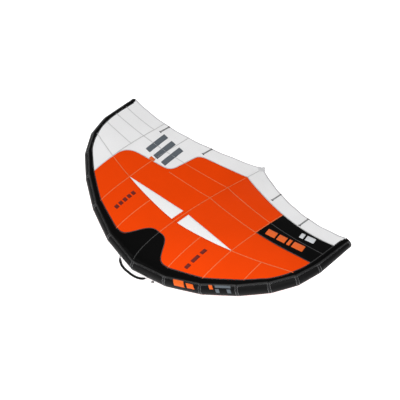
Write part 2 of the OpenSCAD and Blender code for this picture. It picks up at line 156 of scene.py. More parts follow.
# ---- materials
class Shader:
    """Builds one procedural material; each call adds a node and links what it is given"""

    def __init__(self, name, colour, rough, **constants):
        self.material = bpy.data.materials.new(name)
        self.material.use_nodes = True
        self.tree = self.material.node_tree
        self.surface = self.tree.nodes["Principled BSDF"]
        self.surface.inputs["Base Color"].default_value = (*colour, 1)
        self.surface.inputs["Roughness"].default_value = rough
        for socket, value in constants.items():
            self.surface.inputs[socket.replace("_", " ")].default_value = value
        self.colour = colour
        self.place = self.add("ShaderNodeTexCoord").outputs["UV"]
        self.solid_place = self.add("ShaderNodeTexCoord").outputs["Object"]

    def add(self, kind, inputs=None, **settings):
        node = self.tree.nodes.new(kind)
        for key, value in settings.items():
            setattr(node, key, value)
        for key, value in (inputs or {}).items():
            if hasattr(value, "is_output"):
                self.tree.links.new(value, node.inputs[key])
            else:
                node.inputs[key].default_value = value
        return node

    def waves(self, period, axis, sharp, place=None):
        """Thin lines across an axis, one each period"""
        wave = self.add("ShaderNodeTexWave", {"Vector": place or self.place, "Scale": 0.31416 / period},
                        bands_direction=axis)
        return self.math("POWER", wave.outputs["Color"], sharp)

    def noise(self, size, detail=3, place=None):
        node = self.add("ShaderNodeTexNoise",
                        {"Vector": place or self.solid_place, "Scale": 1 / size, "Detail": detail})
        return node.outputs["Fac"]

    def math(self, operation, a, b):
        return self.add("ShaderNodeMath", {0: a, 1: b}, operation=operation).outputs[0]

    def ramp(self, value, low, high):
        """Value from 0 to 1, taken to the range from low to high"""
        return self.add("ShaderNodeMapRange", {"Value": value, "To Min": low, "To Max": high}).outputs[0]

    def tint(self, value, low, high):
        """Makes the colour darker or lighter by a pattern"""
        last = self.surface.inputs["Base Color"]
        before = last.links[0].from_socket if last.links else self.colour
        mixed = self.add("ShaderNodeVectorMath", {0: before, 1: self.ramp(value, low, high)},
                         operation="MULTIPLY")
        self.tree.links.new(mixed.outputs[0], last)

    def rough(self, value, low, high):
        self.tree.links.new(self.ramp(value, low, high), self.surface.inputs["Roughness"])

    def bump(self, height, depth, strength):
        normal = self.surface.inputs["Normal"]
        inputs = {"Height": height, "Distance": depth, "Strength": strength}
        if normal.links:
            inputs["Normal"] = normal.links[0].from_socket
        node = self.add("ShaderNodeBump", inputs)
        self.tree.links.new(node.outputs["Normal"], normal)


def ripstop(name, colour, rough, specular):
    """Thin canopy cloth: a grid of thicker threads, faint creases and slight unevenness of colour"""
    s = Shader(name, colour, rough, Specular_IOR_Level=specular)
    grid = s.math("MAXIMUM", s.waves(0.006, "X", 14), s.waves(0.006, "Y", 14))
    s.bump(grid, 0.00008, 0.6)
    s.bump(s.noise(0.03, 4), 0.0012, 0.25)
    s.tint(grid, 1.0, 0.93)
    s.tint(s.noise(0.35, 2), 0.95, 1.05)
    s.rough(s.noise(0.05), rough - 0.06, rough + 0.08)
    return s.material


def woven(name, colour, rough=0.5, period=0.0009, specular=0.2):
    """Heavier woven cloth of the sleeves, tapes and marks, and thread"""
    s = Shader(name, colour, rough, Specular_IOR_Level=specular)
    weave = s.math("MULTIPLY", s.waves(period, "X", 1.5), s.waves(period, "Y", 1.5))
    s.bump(weave, 0.00012, 0.5)
    s.bump(s.noise(0.05, 5), 0.0015, 0.3)
    # Painted shade in the hollows between the threads and painted light on their crests, following the weave
    # that the bump raises.
    s.tint(weave, 0.85, 1.1)
    s.tint(s.noise(0.2, 3), 0.85, 1.15)
    s.rough(s.noise(0.04, 4), rough - 0.07, rough + 0.1)
    return s.material


def webbing(name, colour):
    """Narrow woven strap with ribs across it"""
    s = Shader(name, colour, 0.65, Specular_IOR_Level=0.15)
    ribs = s.waves(0.0022, "Y", 1.0)
    threads = s.waves(0.0016, "X", 1.0)
    s.bump(s.math("ADD", ribs, threads), 0.0004, 0.7)
    # Painted shade between the ribs and painted light on their raised tops, following the ribs that the bump
    # raises.
    s.tint(ribs, 0.75, 1.15)
    s.tint(s.noise(0.02), 0.85, 1.15)
    return s.material


def foam(name, colour):
    """Moulded foam with a pattern of raised diamonds"""
    s = Shader(name, colour, 0.75, Sheen_Weight=0.2)
    turned = s.add("ShaderNodeMapping", {"Vector": s.place, "Rotation": (0, 0, np.radians(45))})
    cut = s.math("MAXIMUM", s.waves(0.0075, "X", 5, turned.outputs[0]),
                 s.waves(0.0075, "Y", 5, turned.outputs[0]))
    s.bump(s.ramp(cut, 1.0, 0.0), 0.0012, 0.9)
    s.bump(s.noise(0.0012, 2), 0.0002, 0.5)
    # Painted shade in the grooves between the diamonds and painted light on their raised tops, following the
    # cut that the bump uses.
    s.tint(cut, 1.1, 0.6)
    s.tint(s.noise(0.03), 0.9, 1.15)
    return s.material


def plastic(name, colour, rough=0.4):
    """Moulded plastic with a fine spark-eroded grain"""
    s = Shader(name, colour, rough)
    s.bump(s.noise(0.0007, 2), 0.00008, 0.5)
    s.tint(s.noise(0.02), 0.93, 1.07)
    s.rough(s.noise(0.006, 4), rough - 0.08, rough + 0.12)
    return s.material


def film(name, colour):
    """Bladder film"""
    s = Shader(name, colour, 0.3, Transmission_Weight=0.4)
    s.bump(s.noise(0.02, 4), 0.001, 0.4)
    s.tint(s.noise(0.1), 0.95, 1.05)
    return s.material


def laminate(name, colour):
    """Glass-fibre batten"""
    s = Shader(name, colour, 0.35)
    fibres = s.waves(0.0012, "X", 1.0, s.solid_place)
    s.bump(fibres, 0.00005, 0.5)
    s.tint(fibres, 0.9, 1.05)
    s.rough(s.noise(0.01), 0.28, 0.45)
    return s.material


ORANGE = ripstop("cloth_orange", (0.82, 0.056, 0.002), 0.45, 0.01)
WHITE = ripstop("cloth_white", (0.86, 0.86, 0.865), 0.5, 0.1)
BLACK = ripstop("cloth_black", (0.0025, 0.0025, 0.0025), 0.42, 0.015)
ORANGE_SEAM = woven("seam_orange", (0.93, 0.17, 0.04))
WHITE_SEAM = woven("seam_white", (0.68, 0.68, 0.68))
BLACK_SEAM = woven("seam_black", (0.012, 0.012, 0.012), specular=0.3)
SLEEVE = woven("sleeve", (0.005, 0.005, 0.0052), 0.42, specular=0.09)
BAND = woven("seam_band", (0.014, 0.014, 0.015), 0.42, specular=0.16)
HEM = woven("hem_cloth", (0.76, 0.76, 0.77))
PATCH = woven("patch_cloth", (0.009, 0.009, 0.010), 0.6, 0.0014, 0.3)
POCKET = woven("pocket_cloth", (0.26, 0.27, 0.27), 0.6)
POCKET_END = woven("pocket_end_cloth", (0.08, 0.08, 0.085), 0.6)
MARK_GREY = woven("mark_grey", (0.115, 0.135, 0.155), 0.45)
MARK_ORANGE = woven("mark_orange", (0.85, 0.13, 0.01), 0.45)
MARK_DARK = woven("mark_dark", (0.16, 0.010, 0.004))
MARK_WHITE = woven("mark_white", (0.72, 0.74, 0.76), 0.45)
THREAD_GREY = woven("thread_grey", (0.48, 0.48, 0.49), 0.6)
THREAD_WHITE = woven("thread_white", (0.70, 0.70, 0.71), 0.6, specular=0.1)
THREAD_MID = woven("thread_mid", (0.17, 0.17, 0.175), 0.6)
THREAD_DARK = woven("thread_dark", (0.05, 0.05, 0.05), 0.6)
THREAD_ORANGE = woven("thread_orange", (0.95, 0.34, 0.16), 0.6)
WEBBING = webbing("webbing_black", (0.007, 0.007, 0.0075))
HANDLE_CLOTH = woven("handle_cloth", (0.004, 0.004, 0.0042), 0.6, 0.0016, 0.12)
FOAM = foam("foam_black", (0.016, 0.016, 0.017))
RUBBER = plastic("collar_rubber", (0.03, 0.03, 0.032), 0.55)
VALVE = plastic("valve_grey", (0.13, 0.13, 0.135))
CAP = plastic("valve_black", (0.02, 0.02, 0.02), 0.35)
BLADDER = film("bladder_film", (0.75, 0.76, 0.74))
BATTEN = laminate("batten_glass", (0.55, 0.48, 0.28))


# ---- meshes
class Skin:
    """Collects faces and turns them into one piece"""

    def __init__(self):
        self.points, self.faces, self.places, self.count = [], [], [], 0

    def add(self, points, faces, places):
        """places holds a pair of texture lengths for each corner of each face"""
        self.points.append(np.asarray(points, float))
        self.faces += [tuple(int(i) + self.count for i in face) for face in faces]
        self.places += [p for face in places for p in face]
        self.count += len(points)

    def grid(self, rings, wrap=False, caps=False, loop=False):
        """Quads over rings of points; wrap closes each ring, loop joins the last ring to the first
        and caps closes both ends"""
        rows, cols = rings.shape[:2]
        r, c = np.meshgrid(np.arange(rows if loop else rows - 1), np.arange(cols if wrap else cols - 1),
                           indexing="ij")
        corners = [(r, c), (r + 1, c), (r + 1, c + 1), (r, c + 1)]
        faces = np.stack([a % rows * cols + b % cols for a, b in corners], -1).reshape(-1, 4)
        middle = rings.mean(1)
        along = distances(np.concatenate([middle, middle[:1]]))
        around = distances(np.concatenate([rings[rows // 2], rings[rows // 2][:1]]))
        places = np.stack([np.stack([around[b], along[a]], -1) for a, b in corners], -2)
        faces, places = faces.tolist(), places.reshape(-1, 4, 2).tolist()
        if caps:
            for row, order in ((0, 1), (rows - 1, -1)):
                ring = rings[row]
                flat = ring - ring.mean(0)
                faces.append([row * cols + k for k in range(cols)][::order])
                places.append([(flat[k][0], flat[k][1]) for k in range(cols)][::order])
        self.add(rings.reshape(-1, 3), faces, places)

    def mirrored(self):
        """The same faces on the other side of the centre plane"""
        other = Skin()
        other.points = [p * (-1, 1, 1) for p in self.points]
        other.faces = [f[::-1] for f in self.faces]
        ends = np.cumsum([0] + [len(f) for f in self.faces])
        other.places = [p for a, b in zip(ends, ends[1:]) for p in self.places[a:b][::-1]]
        other.count = self.count
        return other

    def join(self, other):
        """Takes in another skin's faces"""
        self.points += other.points
        self.faces += [tuple(i + self.count for i in f) for f in other.faces]
        self.places += other.places
        self.count += other.count

    def both(self):
        """These faces and their mirror image"""
        pair = self.mirrored()
        pair.join(self)
        return pair

    def on(self, side):
        return self.mirrored() if side == "left" else self

    def piece(self, name, material, body="wing", solid=0.0, replaces=(), slot=None):
        mesh = bpy.data.meshes.new(name)
        mesh.from_pydata((np.concatenate(self.points) + SEAM).tolist(), [], self.faces)
        places = np.array(self.places, np.float32)
        mesh.uv_layers.new(name="place").data.foreach_set("uv", places.ravel())
        mesh.shade_smooth()
        mesh.materials.append(material)
        piece = bpy.data.objects.new(name, mesh)
        bpy.context.scene.collection.objects.link(piece)
        if solid:
            thick = piece.modifiers.new("thickness", "SOLIDIFY")
            thick.thickness = solid
            thick.offset = 0
        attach(piece, body)
        if replaces:
            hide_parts(*replaces)
        return piece


def sweep(skin, path, side, up, section):
    """Adds a closed section moved along a path; section is one outline or one for each point"""
    section = np.asarray(section, float)
    if section.ndim == 2:
        section = np.broadcast_to(section, (len(path), *section.shape))
    rings = path[:, None] + section[..., :1] * side[:, None] + section[..., 1:] * up[:, None]
    skin.grid(rings, wrap=True, caps=True)


def oval(width, height, count=12):
    """Closed outline, from which a sweep takes its section"""
    a = np.radians(np.arange(count) * 360 / count)
    return np.stack([np.cos(a) * width / 2, np.sin(a) * height / 2], 1)


def strap_section(width, height):
    """Flat outline with rounded edges"""
    w, h = width / 2, height / 2
    right = [(w, 0), (w - 0.3 * h, h * 0.7), (w - h, h), (0, h), (h - w, h), (0.3 * h - w, h * 0.7)]
    return np.array(right + [(-x, -y) for x, y in right])


def frames(path, normal):
    """Side and up directions along a path on a surface with those normals"""
    ahead = unit(np.gradient(path, axis=0))
    side = unit(np.cross(ahead, normal))
    return side, unit(np.cross(side, ahead))


def stitch(skin, path, normal, width, lift, pitch=0.007, radius=THREAD_R):
    """Zigzag thread along a path that lies on a surface"""
    s = distances(path)
    count = max(3, int(s[-1] / (pitch / 2)))
    places = np.linspace(0, s[-1], count)
    line = np.stack([np.interp(places, s, path[:, k]) for k in range(3)], 1)
    out = unit(np.stack([np.interp(places, s, normal[:, k]) for k in range(3)], 1))
    side, up = frames(line, out)
    turn = np.where(np.arange(count) % 2, 0.5, -0.5)[:, None]
    thread = line + side * turn * width + up * (lift + radius * 0.5)
    side, up = frames(thread, out)
    triangle = radius * np.array([(1, -0.5), (0, 1), (-1, -0.5)])
    sweep(skin, thread, side, up, triangle)


# ---- leading-edge tube and strut, as sewn cones with mitred ends
class Tube:
    def __init__(self, path, radii, first):
        self.path, self.radii = path, radii
        run = np.diff(path, axis=0)
        self.length = np.linalg.norm(run, axis=1)
        self.dir = run / self.length[:, None]
        self.planes = [np.array(first, float)]
        self.planes += [unit(a + b) for a, b in zip(self.dir, self.dir[1:])]
        self.planes.append(self.dir[-1])

    def outward(self, i, turn):
        """Directions out of segment i, turned from the top towards the front"""
        front = unit(np.cross(self.dir[i], UP))
        up = np.cross(front, self.dir[i])
        a = np.radians(turn)
        return np.cos(a)[..., None] * up + np.sin(a)[..., None] * front

    def line(self, i, turn):
        """Ends, on the two mitre planes, of the straight lines of the sleeve at those turns"""
        out = self.outward(i, turn)
        along = self.dir[i] + (self.radii[i + 1] - self.radii[i]) / self.length[i] * out
        base = self.path[i] + self.radii[i] * out
        ends = []
        for joint in (i, i + 1):
            n = self.planes[joint]
            s = ((self.path[joint] - base) @ n) / (along @ n)
            ends.append(base + along * s[..., None])
        return ends[0], ends[1], out

    def at(self, i, t, turn, lift=0.0):
        """Points of segment i at t of its length, with their outward directions"""
        a, b, out = self.line(i, np.asarray(turn, float))
        return mix(a, b, np.asarray(t, float)[..., None]) + out * lift, out


def tube_path():
    x = np.concatenate([[0], np.cumsum(SEG_LEN * np.cos(SEG_SWEEP))])
    y = np.concatenate([[0], np.cumsum(SEG_LEN * np.sin(SEG_SWEEP))])
    z = np.concatenate([[0], np.cumsum(SEG_RISE)])
    turn = np.radians(SEAM_TURN[0])
    return np.stack([x, y + TUBE_R_MID * np.sin(turn), z - TUBE_R_MID * np.cos(turn)], 1)


def tube_radii():
    share = np.concatenate([[0], np.cumsum(SEG_LEN)]) / SEG_LEN.sum()
    return TUBE_R_TIP + (TUBE_R_MID - TUBE_R_TIP) * (1 - share ** TUBE_TAPER)


TUBE = Tube(tube_path(), tube_radii(), (1, 0, 0))


def seam_points():
    points = []
    for i in range(JOINTS + 1):
        front = unit(np.cross(TUBE.planes[i], UP))
        up = np.cross(front, TUBE.planes[i])
        turn = np.radians(mix(*SEAM_TURN, i / JOINTS))
        out = np.cos(turn) * up + np.sin(turn) * front
        points.append(TUBE.path[i] + (TUBE.radii[i] + SEAM_LIFT[i]) * out)
    return np.array(points)


SEAM_LINE = seam_points()


# ---- canopy surface
def eased(values, u, mirrored):
    """Smooth curve through values at whole numbers; mirrored says how it goes on past the centre"""
    v = np.concatenate([[mirrored * values[1]], values, [2 * values[-1] - values[-2]]])
    i = np.clip(u.astype(int), 0, len(values) - 2)
    t = u - i
    a, b, c, d = v[i], v[i + 1], v[i + 2], v[i + 3]
    return b + 0.5 * t * (c - a + t * (2 * a - 5 * b + 4 * c - d + t * (3 * (b - c) + d - a)))


def chord_ends(u, v):
    """Ends of the chord line u; the seam is straight between joints at v = 0 and smooth further back"""
    smooth = ease(v / 0.12)
    seam = [mix(np.interp(u, KNOTS, SEAM_LINE[:, k]), eased(SEAM_LINE[:, k], u, -1 if k == 0 else 1), smooth)
            for k in range(3)]
    x = eased(TE_X, u, -1)
    span = np.abs(x) / HALF_SPAN
    rounded = np.sqrt(x * x + CREASE * CREASE) / HALF_SPAN
    rear = [x, CHORD_MID + power_sum(TE_RUN, span), power_sum(TE_RISE, rounded)]
    return seam, rear


def chord_share(u, y):
    """How far along the chord line u it reaches the distance y behind the seam's centre"""
    v = np.full_like(u, 0.5)
    for _ in range(4):
        seam, rear = chord_ends(u, v)
        v = np.clip((y - seam[1]) / np.maximum(rear[1] - seam[1], 1e-4), 0, 1)
    return v


def locate(x, y):
    """Chord line and chord share of plan points on the right half"""
    low, high = np.zeros_like(x), np.full_like(x, float(JOINTS))
    for _ in range(22):
        u = (low + high) / 2
        v = chord_share(u, y)
        seam, rear = chord_ends(u, v)
        inside = mix(seam[0], rear[0], v) < x
        low, high = np.where(inside, u, low), np.where(inside, high, u)
    u = (low + high) / 2
    return u, chord_share(u, y)


def height_at(u, v):
    """Height of the plain surface, without relief"""
    seam, rear = chord_ends(u, v)
    span = mix(seam[0], rear[0], v) / HALF_SPAN
    chord = np.hypot(rear[0] - seam[0], rear[1] - seam[1])
    camber = CAMBER_MID - CAMBER_LOSS * span * span
    return mix(seam[2], rear[2], v) + camber * chord * v ** (0.5 + 0.37 * span) * (1 - v) ** 1.1


def plan(u, v):
    """Plan points of places on the chord lines"""
    u, v = np.asarray(u, float), np.asarray(v, float)
    seam, rear = chord_ends(u, v)
    return np.stack([mix(seam[0], rear[0], v), mix(seam[1], rear[1], v)], -1)


def trailing_y(x):
    return CHORD_MID + power_sum(TE_RUN, x / HALF_SPAN)


def line_distance(points, line):
    """Distance of plan points from a line of plan points"""
    best = np.full(len(points), 1e9)
    for a, b in zip(line[:-1], line[1:]):
        run = b - a
        t = np.clip(((points - a) @ run) / max(run @ run, 1e-12), 0, 1)
        best = np.minimum(best, np.linalg.norm(points - a - t[:, None] * run, axis=1))
    return best


# ---- lines of the canopy, in plan on the right half
def strip_edge(u):
    """Rear edge of the dark strip, with its bell-shaped middle"""
    seam, rear = chord_ends(u, np.zeros_like(u))
    middle = mix(seam[0], rear[0], 0.4)
    width = eased(STRIP_W, u, 1) + BELL_H * np.exp(-(middle / BELL_W) ** 3.2)
    chordwise = plan(u, np.minimum(width / np.hypot(rear[0] - seam[0], rear[1] - seam[1]), 1))
    line = np.stack([eased(SEAM_LINE[:, k], u, -1 if k == 0 else 1) for k in (0, 1)], 1)
    ahead = unit(np.gradient(line, axis=0))
    beside = line + TIP_STRIP_W * np.stack([-ahead[:, 1], ahead[:, 0]], 1)
    beside[:, 1] = np.minimum(beside[:, 1], trailing_y(beside[:, 0]))
    return mix(chordwise, beside, ease((u - 4.1) / 1.0)[:, None])


def line_a(x):
    return 1.41 - 0.31 * x + 0.09 * x * x


def line_b(x):
    return 1.13 - 0.22 * x + 0.08 * x * x


def dart_front(x):
    return 0.592 + 0.06 * (x / DART_LEN) ** 2


def dart_rear(x):
    share = (x - DART_GAP) / (DART_LEN - DART_GAP)
    return mix(dart_front(DART_GAP) + DART_W, dart_front(DART_LEN) + 0.004, share)


def waist(x):
    out = np.maximum(x - DART_LEN, 0)
    return np.where(x < DART_LEN, dart_front(x), dart_front(DART_LEN) + 0.13 * out + 0.09 * out * out)


def band(x):
    return trailing_y(x) - 0.170 - 0.100 * (1 - x / HALF_SPAN) ** 3


def curve(height, x0, x1):
    """Plan points of a line given by its distance back at each x"""
    x = np.linspace(x0, x1, max(2, int(abs(x1 - x0) / MESH_STEP) + 1))
    return np.stack([x, height(x)], 1)


def straight(*corners):
    return resample(corners, MESH_STEP)


def rounded(corners):
    """Plan line through corners of x, y and how far before and after each one the rounding starts"""
    corners = np.array(corners, float)
    points = [corners[:1, :2]]
    for before, here, after in zip(corners, corners[1:], corners[2:]):
        p, size = here[:2], here[2]
        a, b = p + unit(before[:2] - p) * size, p + unit(after[:2] - p) * size
        t = np.linspace(0, 1, 10)[:, None]
        points.append(mix(mix(a, p, t), mix(p, b, t), t))
    points.append(corners[-1:, :2])
    return resample(np.concatenate(points), MESH_STEP)


def first_beyond(line, height):
    """Number of the first point of a line, outside the darts, that lies behind another line"""
    return int(np.argmax((line[:, 1] > height(line[:, 0])) & (line[:, 0] > DART_LEN)))


STRIP = resample(strip_edge(np.linspace(0, JOINTS, 1500)), MESH_STEP)
LEADING = np.concatenate([straight(a[:2], b[:2])[:-1] for a, b in zip(SEAM_LINE, SEAM_LINE[1:])]
                         + [SEAM_LINE[-1:, :2]])
SIDE_X = (0.775, 0.787, 0.803)  # chordwise seam beside the side panel, at the strip, line_b and the band
INNER_X, OUTER_X = 0.385, 1.13  # chordwise seams of the front panels
SIDE_LOW = straight((SIDE_X[0], waist(SIDE_X[0])), (SIDE_X[1], line_b(SIDE_X[1])))
SIDE_HIGH = straight((SIDE_X[1], line_b(SIDE_X[1])), (SIDE_X[2], band(SIDE_X[2])))
TIP_LINE = resample(plan(np.full(60, 3.0), np.linspace(0.06, 1, 60)), MESH_STEP)
TIP_X = TIP_LINE[0, 0]
WHITE_STEP = rounded([*[(x, band(x), 0.02) for x in (0, 0.1, 0.2, 0.3, 0.42)],
                      (0.530, 1.495, 0.07), (0.550, 1.055, 0.10), (1.103, 0.915, 0.16), (1.109, 0.62, 0)])
AT_WAIST = first_beyond(STRIP, waist)
AT_B = first_beyond(STRIP, line_b)
AT_A = first_beyond(STRIP, line_a)
AT_BAND = first_beyond(STRIP, band)
AT_TIP = int(np.argmax(STRIP[:, 0] > TIP_X))
DART = np.concatenate([curve(dart_front, DART_GAP, DART_LEN), curve(dart_rear, DART_LEN, DART_GAP)])

SEAM_GUIDES = [
    np.array([(0, 0), (0, 2)]),
    np.array([(INNER_X, 0.1), (INNER_X, 0.6)]),
    np.array([(SIDE_X[0], 0.2), (SIDE_X[1], 1.0), (SIDE_X[2], 1.42)]),
    np.array([(OUTER_X, 0.4), (OUTER_X, 0.7)]),
    *[np.stack([np.linspace(0, 1.6, 9), line(np.linspace(0, 1.6, 9))], 1)
      for line in (line_a, line_b, waist, band)],
]


# ---- the canopy's surface with its relief
def relief(points):
    """Height over the plain surface: cloth drawn in along the seams, puckered at the tube's joints
    and fluttered along the trailing edge"""
    seams = np.min([line_distance(points, guide) for guide in SEAM_GUIDES], axis=0)
    quilt = 0.0028 * (1 - np.exp(-seams / 0.045))
    front = line_distance(points, SEAM_LINE[:, :2])
    joint = np.min([np.linalg.norm(points - p[:2], axis=1) for p in SEAM_LINE[1:-1]], axis=0)
    way = points[:, 0] - 0.6 * points[:, 1]
    pucker = np.sin(way * 150 + 2 * np.sin(way * 17)) * np.exp(-front / 0.06) * (1 - np.exp(-front / 0.015))
    pucker *= 0.0007 + 0.0022 * np.exp(-((joint / 0.10) ** 2))
    rear = np.maximum(trailing_y(points[:, 0]) - points[:, 1], 0)
    flutter = 0.003 * np.sin(points[:, 0] * 24 + 0.5) * np.exp(-rear / 0.05)
    return (quilt * (1 - np.exp(-front / 0.03)) + pucker + flutter) * ease(points[:, 0] / 0.05)


def surface(points):
    """Heights of plan points; the left half is the right one mirrored"""
    points = np.column_stack([np.abs(points[:, 0]), points[:, 1]])
    u, v = locate(points[:, 0], points[:, 1])
    return height_at(u, v) + relief(points)


def lay(points, lift=0.0):
    """Plan points laid on the canopy, and the canopy's upward directions there"""
    points = np.asarray(points, float)
    step = 0.002
    moved = [points, points + (step, 0), points - (step, 0), points + (0, step), points - (0, step)]
    z = surface(np.concatenate(moved)).reshape(5, -1)
    out = unit(np.stack([(z[2] - z[1]) / (2 * step), (z[4] - z[3]) / (2 * step), np.ones(len(points))], 1))
    return np.column_stack([points, z[0]]) + out * lift, out


def inside(points, outline):
    """Which plan points lie inside a closed outline"""
    x, y = points[:, 0], points[:, 1]
    odd = np.zeros(len(points), bool)
    for (x0, y0), (x1, y1) in zip(outline, np.roll(outline, -1, axis=0)):
        if y0 != y1:
            odd ^= ((y0 > y) != (y1 > y)) & (x < (x1 - x0) * (y - y0) / (y1 - y0) + x0)
    return odd


def divided(outline, step):
    """Closed outline with its long edges cut into steps"""
    points = []
    for a, b in zip(outline, np.roll(outline, -1, axis=0)):
        parts = max(1, int(np.linalg.norm(b - a) / step + 0.6))
        points += [mix(a, b, k / parts) for k in range(parts)]
    return np.array(points)


def cut_cloth(outline, step=MESH_STEP, lift=0.0):
    """Skin of triangles that fills a plan outline and follows the canopy"""
    outline = np.asarray(outline, float)
    keep = np.linalg.norm(outline - np.roll(outline, 1, axis=0), axis=1) > 0.0005
    outline = divided(outline[keep], step)
    low, high = outline.min(0), outline.max(0)
    rows = []
    for k, y in enumerate(np.arange(low[1], high[1], step * 0.87)):
        x = np.arange(low[0] + (k % 2) * step / 2, high[0], step)
        rows.append(np.stack([x, np.full(len(x), y)], 1))
    inner = np.concatenate(rows)
    inner = inner[inside(inner, outline)]
    ring = np.concatenate([outline, outline[:1]])
    inner = inner[line_distance(inner, ring) > step * 0.55]
    count = len(outline)
    points = [Vector(p) for p in np.concatenate([outline, inner])]
    edges = [(i, (i + 1) % count) for i in range(count)]
    found = delaunay_2d_cdt(points, edges, [], 1, 1e-7)
    flat = np.array([tuple(p) for p in found[0]])
    faces = [tuple(f) for f in found[2]]
    skin = Skin()
    laid = lay(flat, lift)[0] if lift else np.column_stack([flat, surface(flat)])
    skin.add(laid, faces, [[tuple(flat[i]) for i in f] for f in faces])
    return skin


def ribbon(skin, line, width, thick, shift=0.0, lift=0.0):
    """Strip of cloth along a plan line, on both faces of the canopy; shift moves it to the line's right"""
    line = resample(line, 0.012)
    ahead = unit(np.gradient(line, axis=0))
    right = np.stack([ahead[:, 1], -ahead[:, 0]], 1)
    count = len(line)
    across = np.array([-0.5, -0.5 + 0.5 * thick / width, 0.5 - 0.5 * thick / width, 0.5]) * width + shift
    places = line[:, None] + right[:, None] * across[:, None]
    laid, out = lay(places.reshape(-1, 2), lift)
    laid, out = laid.reshape(count, 4, 3), out.reshape(count, 4, 3)
    rim = np.array([0.15, 0.5, 0.5, 0.15])[:, None] * thick
    rings = np.concatenate([laid - out * rim, (laid + out * rim)[:, ::-1]], 1)
    skin.grid(rings, wrap=True, caps=True)
    middle = laid.mean(1) + out.mean(1) * thick / 2
    return middle, unit(out.mean(1))


def outline_of(*parts):
    return np.concatenate(parts)


def make_panels():
    """The canopy's cloth panels; the two halves differ behind the dark strip"""
    rear_edge = outline_of([(0, dart_front(0)), (DART_GAP, dart_front(DART_GAP))],
                           curve(dart_rear, DART_GAP, DART_LEN))
    white_foot = int(np.argmin(np.abs(TIP_LINE[:, 1] - WHITE_STEP[-1, 1])))
    waist_foot = int(np.argmin(np.abs(TIP_LINE[:, 1] - waist(TIP_LINE[:, 0]))))
    corner = np.array([(TE_X[-1], trailing_y(TE_X[-1]))])
    strip = outline_of(LEADING, corner, STRIP[::-1])
    front = outline_of(STRIP[:AT_WAIST], curve(waist, STRIP[AT_WAIST, 0], 0))
    outer = outline_of(SIDE_LOW[::-1], curve(waist, SIDE_X[0], STRIP[AT_WAIST, 0]), STRIP[AT_WAIST:AT_B],
                       curve(line_b, STRIP[AT_B, 0], SIDE_X[1]))
    side = outline_of(SIDE_HIGH[::-1], curve(line_b, SIDE_X[1], STRIP[AT_B, 0]), STRIP[AT_B:AT_BAND],
                      curve(band, STRIP[AT_BAND, 0], SIDE_X[2]))
    rear = outline_of(rear_edge, SIDE_LOW, SIDE_HIGH, curve(band, SIDE_X[2], 0))
    trailing = outline_of(curve(band, 0, STRIP[AT_BAND, 0]), STRIP[AT_BAND:],
                          curve(trailing_y, STRIP[-1, 0], 0))
    front_left = outline_of(STRIP[:AT_TIP], TIP_LINE[:waist_foot], curve(waist, TIP_X, 0))
    rear_left = outline_of(rear_edge, curve(waist, DART_LEN, TIP_X), TIP_LINE[waist_foot:white_foot],
                           WHITE_STEP[::-1])
    trailing_left = outline_of(WHITE_STEP, TIP_LINE[white_foot + 1:], curve(trailing_y, TIP_LINE[-1, 0], 0))
    tip_left = outline_of(TIP_LINE[::-1], STRIP[AT_TIP:], curve(trailing_y, STRIP[-1, 0], TIP_LINE[-1, 0]))
    cuts = [
        ("leading_strip", "left", strip, "black"),
        ("leading_strip", "right", strip, "black"),
        ("front_panel", "left", front_left, "orange"),
        ("front_panel", "right", front, "orange"),
        ("rear_panel", "left", rear_left, "orange"),
        ("rear_panel", "right", rear, "orange"),
        ("outer_panel", "right", outer, "orange"),
        ("side_panel", "right", side, "black"),
        ("trailing_panel", "left", trailing_left, "white"),
        ("trailing_panel", "right", trailing, "white"),
        ("tip_panel", "left", tip_left, "white"),
        ("dart", "left", DART, "white"),
        ("dart", "right", DART, "white"),
    ]
    cloth = {"orange": ORANGE, "white": WHITE, "black": BLACK}
    for node, half, outline, colour in cuts:
        name = f"{node.removesuffix('_panel')}_cloth_{half}"
        skin = cut_cloth(outline).on(half)
        piece = skin.piece(name, cloth[colour], solid=CLOTH, replaces=[f"{node}_{half}"],
                           slot="canopy_" + colour)
        declare_cut(piece)


def declare_cut(piece, length=None):
    """Works out a panel's length, a given one or else the diagonal of its box, and does nothing further with
    it
    """
    low, high = piece.bound_box[0], piece.bound_box[6]
    length = length or np.linalg.norm(np.subtract(high, low))


